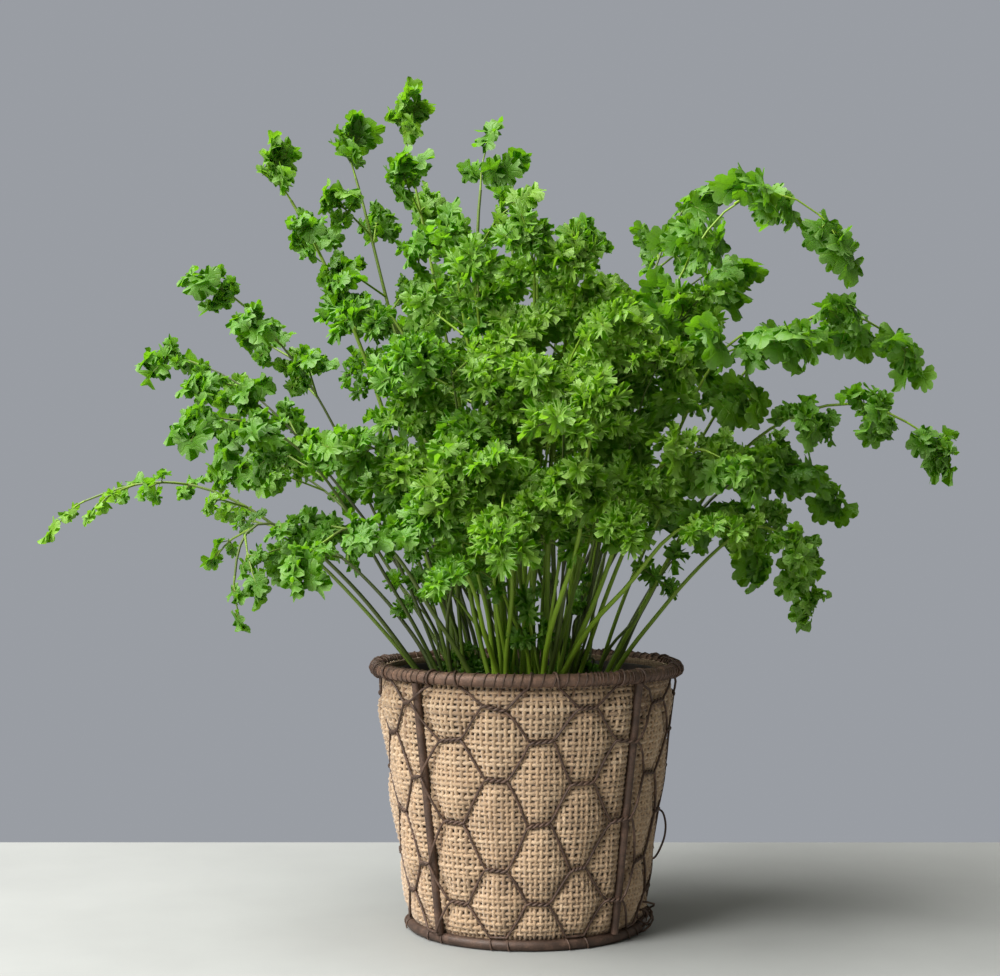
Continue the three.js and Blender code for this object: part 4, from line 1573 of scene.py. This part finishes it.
def spray_frame(curve, plan):
    """A spray's origin, and its directions along, sideways and out of its upper face."""
    origin = curve.point(plan.at)
    ahead = curve.ahead(plan.at)
    up = Vector((0, 0, 1))
    outward = outward_from(origin)
    across = up.cross(ahead)
    if across.length < 0.3:
        across = up.cross(outward)
    across.normalize()
    along = ahead.copy()
    if plan.side:
        forward = math.radians(plan.forward)
        along = turned_about(across * plan.side, ahead, -plan.side * plan.roll)
        along = along * math.cos(forward) + ahead * math.sin(forward)
    along.normalize()
    face = up * 0.8 + outward * 0.6
    face = (face - along * face.dot(along)).normalized()
    face = turned_about(face, along, plan.twist)
    return origin, along, face.cross(along), face


# The small blades of a leaflet: where each begins as a share of the leaflet's length, how far it is
# turned aside in degrees, and its length as a share of the leaflet's
CURLED_BLADES = ((0.58, 0, 0.5), (0.38, 55, 0.48), (0.38, -55, 0.48), (0.12, 70, 0.45), (0.12, -70, 0.45))
RAGGED_BLADES = (
    (0.68, 0, 0.4),
    (0.5, 50, 0.4),
    (0.5, -50, 0.4),
    (0.27, 65, 0.38),
    (0.27, -65, 0.38),
    (0.06, 75, 0.36),
    (0.06, -75, 0.36),
)
FLAT_BLADES = ((0.42, 0, 0.56), (0.12, 62, 0.5), (0.12, -62, 0.5))
# The leaflets of a spray: where each begins and ends, as shares of the spray's length along and across,
# and how far its end stands out of the spray's face
BALL_LEAFLETS = (
    ((0.06, 0.08), (0.12, 0.42), 0.26),
    ((0.06, -0.08), (0.12, -0.42), -0.18),
    ((0.36, 0.06), (0.62, 0.38), -0.2),
    ((0.36, -0.06), (0.62, -0.38), 0.26),
    ((0.50, 0.0), (0.95, 0.0), 0.0),
    ((0.34, 0.0), (0.42, 0.0), 0.42),
)
FULL_LEAFLETS = (
    ((0.06, 0.08), (0.10, 0.50), 0.1),
    ((0.06, -0.08), (0.10, -0.50), -0.08),
    ((0.36, 0.06), (0.68, 0.42), -0.06),
    ((0.36, -0.06), (0.68, -0.42), 0.12),
    ((0.50, 0.0), (1.0, 0.0), 0.0),
)
YOUNG_LEAFLETS = FULL_LEAFLETS[:2] + FULL_LEAFLETS[4:]
SPARSE_LEAFLETS = (
    ((0.1, 0.03), (0.28, 0.30), 0.1),
    ((0.1, -0.03), (0.28, -0.30), -0.1),
    ((0.44, 0.0), (0.86, 0.0), 0.0),
)

# The columns of a tooth: where each stands between the tooth's two valleys, and how far it reaches
BLUNT_TOOTH = ((0.0, 0.0), (0.27, 1.0), (0.73, 1.0))
ROUND_TOOTH = ((0.0, 0.0), (0.2, 0.72), (0.5, 1.0), (0.8, 0.72))

# One kind of blade: its lobes, the teeth of each and a tooth's columns; its rows from foot to edge; half
# the angle of its fan in degrees; how far out it still reaches between two lobes, and how deep the valley
# between two teeth is; its roll, the height of its ripples, the lobes to a ripple and its lift, each as
# (least, spread); and the reach of its side lobes
LeafKind = namedtuple("LeafKind", "lobes teeth columns rows fan notch depth roll ripple per_wave lift side")
CURLED = LeafKind(
    lobes=5, teeth=1, columns=ROUND_TOOTH, rows=(0.0, 0.6, 1.0), fan=120, notch=1.0, depth=0.27,
    roll=(0.55, 1.3), ripple=(0.35, 0.6), per_wave=(1.3, 1.2), lift=(0.1, 0.6), side=0.85,
)
RAGGED = LeafKind(
    lobes=7, teeth=1, columns=BLUNT_TOOTH, rows=(0.0, 0.6, 1.0), fan=120, notch=1.0, depth=0.42,
    roll=(-0.6, 1.6), ripple=(0.5, 0.7), per_wave=(1.4, 1.8), lift=(0.1, 0.6), side=0.8,
)
FLAT = LeafKind(
    lobes=3, teeth=2, columns=ROUND_TOOTH, rows=(0.0, 0.4, 0.72, 1.0), fan=112, notch=0.82, depth=0.17,
    roll=(0.5, 1.3), ripple=(0.2, 0.4), per_wave=(0.8, 1.0), lift=(0.2, 0.4), side=0.85,
)

# The sprays of a frond: leaflets, their blades, the blades' kind, how much they face every way, how far
# each may be turned in degrees, the spray's length as a share, and what is added to its stalk and tone.
# A curled spray is drawn together into a ball on a longer stalk.
SprayKind = namedtuple("SprayKind", "leaflets blades leaf rounding jitter length stalk tone")
SPRAY_KINDS = {
    "curled": SprayKind(BALL_LEAFLETS, CURLED_BLADES, CURLED, 1.0, 25, 0.86, 4, 0),
    "inner": SprayKind(FULL_LEAFLETS, RAGGED_BLADES, RAGGED, 0.8, 50, 0.9, 1.5, 0),
    "light": SprayKind(YOUNG_LEAFLETS, CURLED_BLADES, CURLED, 1.0, 40, 0.86, 4, 0),
    "young": SprayKind(YOUNG_LEAFLETS, CURLED_BLADES, RAGGED, 0.8, 50, 0.9, 1.5, 0),
    "sparse": SprayKind(SPARSE_LEAFLETS, CURLED_BLADES[:3], CURLED, 0.5, 50, 0.85, 0, 0),
    "flat": SprayKind(FULL_LEAFLETS, FLAT_BLADES, FLAT, 0.55, 60, 1.0, 0, -0.25),
}


class LeafShapes:
    """Blades to choose from. Each is one unit long, along X, with its upper face towards Z."""

    COUNT = 20
    KINDS = (CURLED, RAGGED, FLAT)
    THICKNESS = 0.022
    RIM_ANGLE = math.radians(110)

    def __init__(self, material):
        meshes = []
        for number in range(self.COUNT * len(self.KINDS)):
            kind = self.KINDS[number // self.COUNT]
            meshes.append(self.mesh(f"leaf_{number:02d}", kind, random_series(200 + number)))
        self.group = shape_group("leaf shapes", meshes, material)

    def rays(self, kind, random):
        """Share of the way across, angle and reach of each ray of the fan, from side to side."""
        found = []
        total = kind.lobes * kind.teeth
        for tooth in range(total):
            depth = kind.depth * (0.7 + 0.6 * random())
            skew = 0.12 * (random() - 0.5)
            for place, reach in kind.columns:
                found.append(((tooth + place + skew * reach) / total, 1 - depth * (1 - reach)))
        found.append((1.0, 1 - kind.depth))
        rays = []
        for across, tooth_reach in found:
            within = (across * kind.lobes) % 1.0 if across < 1.0 else 1.0
            lobe = kind.notch + (1 - kind.notch) * math.sin(math.pi * within) ** 0.5
            length = 1 - (1 - kind.side) * abs(2 * across - 1) ** 1.5
            rays.append((across, math.radians(kind.fan * (2 * across - 1)), tooth_reach * lobe * length))
        return rays

    @classmethod
    def pick(cls, kind, random):
        """The number of one of the blades of a kind."""
        return cls.COUNT * cls.KINDS.index(kind) + int(random() * cls.COUNT)

    def mesh(self, name, kind, random):
        """One blade: thin and closed, sharp at its edge."""
        wave_phase = TURN * random()
        slow_phase = TURN * random()
        ranges = (kind.roll, kind.ripple, kind.per_wave, kind.lift)
        roll, ripple, per_wave, lift = (least + spread * random() for least, spread in ranges)
        rays = self.rays(kind, random)
        grid = np.zeros((len(kind.rows), len(rays), 3))
        for column, (across, fan, reach) in enumerate(rays):
            swing = math.sin(1.7 * fan + slow_phase)
            wave = math.sin(TURN * across * kind.lobes / per_wave + wave_phase)
            turn_down = -(roll + 0.6 * swing * abs(roll)) + ripple * wave
            out = 0.0
            rise = 0.0
            for row in range(1, len(kind.rows)):
                angle = lift + turn_down * ((kind.rows[row] + kind.rows[row - 1]) / 2) ** 1.4
                length = (kind.rows[row] - kind.rows[row - 1]) * reach
                out += length * math.cos(angle)
                rise += length * math.sin(angle)
                grid[row, column] = (out * math.cos(fan), out * math.sin(fan), rise)
        return self.shell(name, grid, [ray[0] * kind.lobes for ray in rays], kind)

    def shell(self, name, grid, across, kind):
        """The blade's two faces, which meet at its edge. Its inner rows have a point at each valley."""
        rows = len(kind.rows) - 1
        last = len(across) - 1
        normal = np.cross(np.gradient(grid, axis=0), np.gradient(grid, axis=1))
        normal /= np.maximum(np.linalg.norm(normal, axis=2, keepdims=True), 1e-9)
        points = [grid[0, 0]]
        uvs = [(0.5, 0.0)]
        upper = []
        lower = []
        for row in range(1, rows + 1):
            upper.append([])
            lower.append([])
            for column in range(0, last + 1, 1 if row == rows else len(kind.columns)):
                upper[-1].append(len(points))
                lower[-1].append(len(points))
                points.append(grid[row, column])
                uvs.append((across[column], kind.rows[row]))
                if row < rows and 0 < column < last:
                    lower[-1][-1] = len(points)
                    points.append(grid[row, column] - normal[row, column] * self.THICKNESS)
                    uvs.append(uvs[-1])
        faces = []
        for side, order in ((upper, 1), (lower, -1)):
            for near, far in zip(side[0], side[0][1:]):
                faces.append((0, near, far)[::order])
            for inner, outer in zip(side, side[1:]):
                step = (len(outer) - 1) // (len(inner) - 1)
                for column in range(len(outer) - 1):
                    cell, part = divmod(column, step)
                    corners = [inner[cell], outer[column], outer[column + 1], inner[cell + 1]]
                    if part != step // 2:
                        corners.pop(-1 if part < step // 2 else 0)
                    faces.append(tuple(corners)[::order])
        # The slivers at the blade's two ends lie in both faces, and are left out.
        rim = {0}.union(*upper) & {0}.union(*lower)
        faces = [face for face in faces if not rim.issuperset(face)]
        used = sorted(set().union(*faces))
        number = {point: place for place, point in enumerate(used)}
        faces = [tuple(number[point] for point in face) for face in faces]
        mesh = mesh_of(name, [points[point] for point in used], (), faces)
        mesh.shade_smooth()
        mesh.set_sharp_from_angle(angle=self.RIM_ANGLE)
        layer = mesh.uv_layers.new(name="leaf")
        for loop in mesh.loops:
            layer.data[loop.index].uv = uvs[used[loop.vertex_index]]
        return mesh


def leaf_tone(place, tone):
    """How bright a leaf is, from 0 to 1: brighter near a place at the front of the plant, partly the lighter
    green of young leaves and partly painted light.
    """
    near = max(0.0, 1 - (place - YOUNG_AND_LIT_HEART).length / YOUNG_AND_LIT_REACH)
    return min(1.0, max(0.0, tone - 0.2 + 0.95 * near))


def leaflet_seats(frame_of_spray, stalk, length, random, kind):
    """The seats of a spray's leaflets and the fine stalks that carry them, in millimetres."""
    origin, along, sideways, face = frame_of_spray

    def spot(out, across):
        """A place of the spray, which droops towards its end and its sides."""
        past = max(0.0, out - stalk) / length
        aside = abs(across) / length
        drop = (SPRAY_DROOP * past * past + SPRAY_SIDE_DROOP * aside * aside) * length
        return origin + along * out + sideways * across - face * drop

    middle = spot(stalk + 0.42 * length, 0.0)
    outward = outward_from(origin)
    spine = [spot(stalk * s, 0.0) for s in (0.0, 0.5, 1.0)]
    spine.extend(spot(stalk + length * s, 0.0) - face * 2.2 * s for s in (0.25, 0.52))
    stalks = [spine]
    seats = []
    for (begin_along, begin_across), (end_along, end_across), rise in kind.leaflets:
        begin = spot(stalk + begin_along * length, begin_across * length)
        end = spot(stalk + end_along * length, end_across * length) + face * rise * length
        way = (end - begin).normalized()
        normal = (face - way * face.dot(way)).normalized()
        reach = (end - begin).length
        rib = [begin, begin + way * reach * (0.06 + max(blade[0] for blade in kind.blades))]
        if begin_across:
            rib.insert(0, spot(stalk + begin_along * length * 0.3, 0.0))
        stalks.append(rib)
        for start, aside, share in kind.blades:
            foot = begin + way * reach * start
            ahead = turned_about(way, normal, aside + 24 * (random() - 0.5))
            bulge = (foot - middle) / (0.5 * length) * 0.9 + outward * 0.5
            bulge += Vector([random() - 0.5 for _ in range(3)])
            up = (normal * (1 - 0.3 * kind.rounding) + bulge * kind.rounding).normalized()
            ahead = (ahead - up * ahead.dot(up)).normalized()
            up = turned_about(up, ahead, kind.jitter * (random() - 0.5))
            side = up.cross(ahead)
            tilt = 0.7 * kind.jitter * (random() - 0.5)
            ahead = turned_about(ahead, side, tilt)
            up = turned_about(up, side, tilt)
            turn = Matrix((ahead, side, up)).transposed().to_euler()
            size = reach * share * (1.0 + 0.3 * random())
            seats.append((foot, turn, size, LeafShapes.pick(kind.leaf, random)))
    return seats, stalks


class PARSLEY_OT_fronds(bpy.types.Operator):
    """Grows every leafy stem: the stem, the stalks of its sprays and their curled leaflets."""

    bl_idname = "parsley.fronds"
    bl_label = "Fronds"

    SIDES = 6
    STEM_POINTS = 26
    SHOOT_POINTS = 14
    TIP_THINNING = 0.45
    SHOOT_THINNING = 0.5
    SHOOT_STALK = 0.35 * MM
    # How deep a shoot stands, in millimetres, and what share of a turn it is from the one before
    SHOOT_DEPTH = 4
    SHOOT_STEP = 0.618

    def execute(self, context):
        plant = context.scene.parsley_plant
        greens = (tuple(plant.leaf_colour), tuple(plant.young_colour))
        leaf = material_named("parsley_blade", waxy_leaf, *greens)
        stem = material_named("parsley_stem", juicy_stem, tuple(plant.stem_colour))
        shapes = LeafShapes(leaf)
        values = {
            "Leaf shapes": shapes.group,
            "Sides": self.SIDES,
            "Stem material": stem,
            "Leaf material": leaf,
        }
        for index, row in enumerate(frond_rows()):
            number = f"{index + 1:02d}"
            piece = grown(f"leafy_stem_{number}", self.frond_mesh(row, index, plant), frond_tree, values)
            finish_piece(piece, "parsley_leaf", f"frond_{number}")
        piece = grown("young_shoots", self.shoots_mesh(plant), frond_tree, values)
        finish_piece(piece, "parsley_leaf")
        drop_shapes(shapes.group)
        return DONE

    def stem(self, curve, count, radius, end_share, tone):
        """A stem that thins from its foot to a share of its thickness."""
        shares = [s / (count - 1) for s in range(count)]
        radii = [radius * (1 - (1 - end_share) * s) for s in shares]
        return [curve.point(s) * MM for s in shares], radii, tone, False

    def shoots_mesh(self, plant):
        """Young stems that stand among the others, each with one small spray."""
        random = random_series(77)
        soil = SOIL_TOP / MM
        low = soil - self.SHOOT_DEPTH
        strands = []
        seats = []

        def grow(curve, radius, tone, kind, scale, light=0.3):
            """One shoot with its spray."""
            strands.append(self.stem(curve, self.SHOOT_POINTS, radius, self.SHOOT_THINNING, tone))
            spray = spray_frame(curve, end_plan(random))
            length = plant.leaflet_length / MM * (scale + 0.2 * random())
            found, stalks = leaflet_seats(spray, 3, length, random, SPRAY_KINDS[kind])
            for place, turn, size, shape in found:
                seat_tone = leaf_tone(place, light + 0.4 * random())
                seats.append((place * MM, turn, size * MM, seat_tone, shape))
            strands.extend(([p * MM for p in line], self.SHOOT_STALK, tone, False) for line in stalks)

        for shoot in range(plant.shoots):
            angle = TURN * (shoot * self.SHOOT_STEP + 0.1 * random())
            out = 5 + 27 * math.sqrt((shoot + 0.5) / plant.shoots)
            root = at(angle, out, low)
            spread = angle + 1.5 * (random() - 0.5)
            far = out + 8 + 34 * random()
            rise = 38 + 87 * random()
            tall = shoot % 5 < 2
            if tall:
                far = 92 + 20 * random()
                rise = (102 if shoot % 2 else 152) + 26 * (random() - 0.5)
            across = 0.72 if tall else 1.0
            tip = (far * across * math.cos(spread), far * math.sin(spread), soil + rise)
            curve = StemCurve(tip, 0.3 + 0.4 * random(), -30 + 20 * random(), shoot * 1.9, root)
            radius = plant.stem_radius * (0.5 + 0.45 * random())
            # Stems rooted further back are painted darker, as painted shade.
            shade = 0.35 * random() if curve.root.y < -15 else 0.55 + 0.45 * random()
            grow(curve, radius, shade, "inner" if tall else "young", 0.85 if tall else 0.6)
        for number, (tip, lean, lift) in enumerate(FRONT_SHOOTS):
            root = Vector((0.15 * tip[0], -26, low))
            grow(StemCurve(tip, lean, lift, number * 5.3, root), plant.stem_radius, 0.0, "inner", 0.8)
        for number, tip in enumerate(LOW_SHOOTS):
            root = Vector((0.6 * tip[0], 0.6 * tip[1], low))
            curve = StemCurve(tip, 0.5, -8, number * 2.1, root)
            # Their stems and leaves are painted dark, as painted shade.
            grow(curve, 0.6 * plant.stem_radius, 1.0, "inner", 0.6, -0.4)
        return strand_mesh("young_shoots", strands, seats)

    def frond_mesh(self, row, index, plant):
        """Lines for the stem and stalks, and loose points for the leaflets' seats."""
        tip, lean, lift, pairs, purple_and_shade, leaf_kind = row
        curve = StemCurve(tip, lean, lift, index * 3.7)
        random = random_series(900 + index)
        stem_radius = plant.stem_radius * (0.65 + 0.5 * random())
        frond_tone = 0.35 + 0.35 * random()
        strands = [self.stem(curve, self.STEM_POINTS, stem_radius, self.TIP_THINNING, purple_and_shade)]
        seats = []
        for plan in spray_plans(pairs, index):
            kind = SPRAY_KINDS["young" if plan.pair == 3 and leaf_kind == "inner" else leaf_kind]
            length = plant.leaflet_length / MM * plan.scale * kind.length
            spray_tone = frond_tone + 0.7 * (random() - 0.5) + kind.tone
            spray = spray_frame(curve, plan)
            found, stalks = leaflet_seats(spray, plan.stalk + kind.stalk, length, random, kind)
            for place, turn, size, shape in found:
                tone = leaf_tone(place, spray_tone + 0.2 * (random() - 0.5))
                seats.append((place * MM, turn, size * MM, tone, shape))
            for line in stalks:
                radius = 0.5 * MM if len(line) > 3 else 0.3 * MM
                radii = np.linspace(radius, radius * 0.6, len(line))
                strands.append(([p * MM for p in line], radii, purple_and_shade * 0.6, False))
        return strand_mesh(f"frond_{index}", strands, seats)


# Stage


class PARSLEY_OT_stage(bpy.types.Operator):
    """Sets up the floor, the soft light and the camera."""

    bl_idname = "parsley.stage"
    bl_label = "Floor, light and camera"

    CAMERA_PLACE = (-0.0108, -0.820, 0.182)
    # Half the picture's width at the basket's axis
    HALF_WIDTH = 0.2085
    FLOOR_BACK = 0.19
    FLOOR_REACH = 1.4
    AIM = Vector((0, 0, 0.2))
    # Name, place, width, and power as a share of the key light's
    LIGHTS = (
        ("key_light", (-0.98, -0.92, 0.85), 0.9, 1.0),
        ("top_light", (-0.7, -0.25, 1.5), 1.6, 2.3),
    )

    def execute(self, context):
        scene = context.scene
        stage = scene.parsley_stage
        reach = self.FLOOR_REACH
        back = self.FLOOR_BACK
        corners = [(-reach, -reach, 0), (reach, -reach, 0), (reach, back, 0), (-reach, back, 0)]
        floor = keep_object("floor", mesh_of("floor", corners, (), [(0, 1, 2, 3)]))
        floor.data.materials.append(material_named("pale_floor", pale_floor, tuple(stage.floor_colour)))
        self.lights(scene, stage)
        self.camera(scene)
        scene.view_settings.view_transform = "Standard"
        return DONE

    def lights(self, scene, stage):
        """A large soft key from the front left, one from above, and dimmer light all round."""
        world = bpy.data.worlds.new("surroundings")
        world.use_nodes = True
        nodes = world.node_tree.nodes
        links = world.node_tree.links
        seen = nodes["Background"]
        feed(links, seen.inputs["Color"], stage.wall_colour)
        lighting = nodes.new("ShaderNodeBackground")
        feed(links, lighting.inputs["Color"], (stage.fill, stage.fill, 0.95 * stage.fill))
        choose = nodes.new("ShaderNodeMixShader")
        links.new(nodes.new("ShaderNodeLightPath").outputs["Is Camera Ray"], choose.inputs["Fac"])
        links.new(lighting.outputs["Background"], choose.inputs[1])
        links.new(seen.outputs["Background"], choose.inputs[2])
        links.new(choose.outputs["Shader"], nodes["World Output"].inputs["Surface"])
        scene.world = world
        for name, place, size, power in self.LIGHTS:
            data = bpy.data.lights.new(name, "AREA")
            data.shape = "DISK"
            data.size = size
            data.energy = stage.key_power * power
            light = keep_object(name, data)
            light.location = place
            light.rotation_euler = (self.AIM - Vector(place)).to_track_quat("-Z", "Y").to_euler()

    def camera(self, scene):
        """A level camera at the height of the leaves."""
        data = bpy.data.cameras.new("camera")
        data.sensor_width = 36.0
        data.lens = data.sensor_width / 2 * -self.CAMERA_PLACE[1] / self.HALF_WIDTH
        data.clip_end = 20.0
        camera = keep_object("camera", data)
        camera.location = self.CAMERA_PLACE
        camera.rotation_euler = (math.pi / 2, 0, 0)
        scene.camera = camera


# Add-on


class VIEW3D_PT_parsley(bpy.types.Panel):
    """Lists the settings and the steps that build the potted parsley."""

    bl_label = "Potted Parsley"
    bl_idname = "VIEW3D_PT_parsley"
    bl_space_type = "VIEW_3D"
    bl_region_type = "UI"
    bl_category = "Parsley"

    def draw(self, context):
        layout = self.layout
        for name, settings in SETTINGS:
            box = layout.box()
            for detail in settings.__annotations__:
                box.prop(getattr(context.scene, name), detail)
        for step in STEPS:
            layout.operator(step.bl_idname)


STEPS = (
    PARSLEY_OT_stage,
    PARSLEY_OT_hoops,
    PARSLEY_OT_hoop_wraps,
    PARSLEY_OT_ribs,
    PARSLEY_OT_netting,
    PARSLEY_OT_grow_pot,
    PARSLEY_OT_burlap,
    PARSLEY_OT_soil,
    PARSLEY_OT_fronds,
)
SETTINGS = (
    ("parsley_basket", ParsleyBasketSettings),
    ("parsley_plant", ParsleyPlantSettings),
    ("parsley_stage", ParsleyStageSettings),
)


def register():
    for name, settings in SETTINGS:
        bpy.utils.register_class(settings)
        setattr(bpy.types.Scene, name, PointerProperty(type=settings))
    for step in (*STEPS, VIEW3D_PT_parsley):
        bpy.utils.register_class(step)


def unregister():
    for step in (VIEW3D_PT_parsley, *reversed(STEPS)):
        bpy.utils.unregister_class(step)
    for name, settings in reversed(SETTINGS):
        delattr(bpy.types.Scene, name)
        bpy.utils.unregister_class(settings)


def main():
    register()
    for step in STEPS:
        group, name = step.bl_idname.split(".")
        getattr(getattr(bpy.ops, group), name)()


if __name__ == "__main__":
    main()
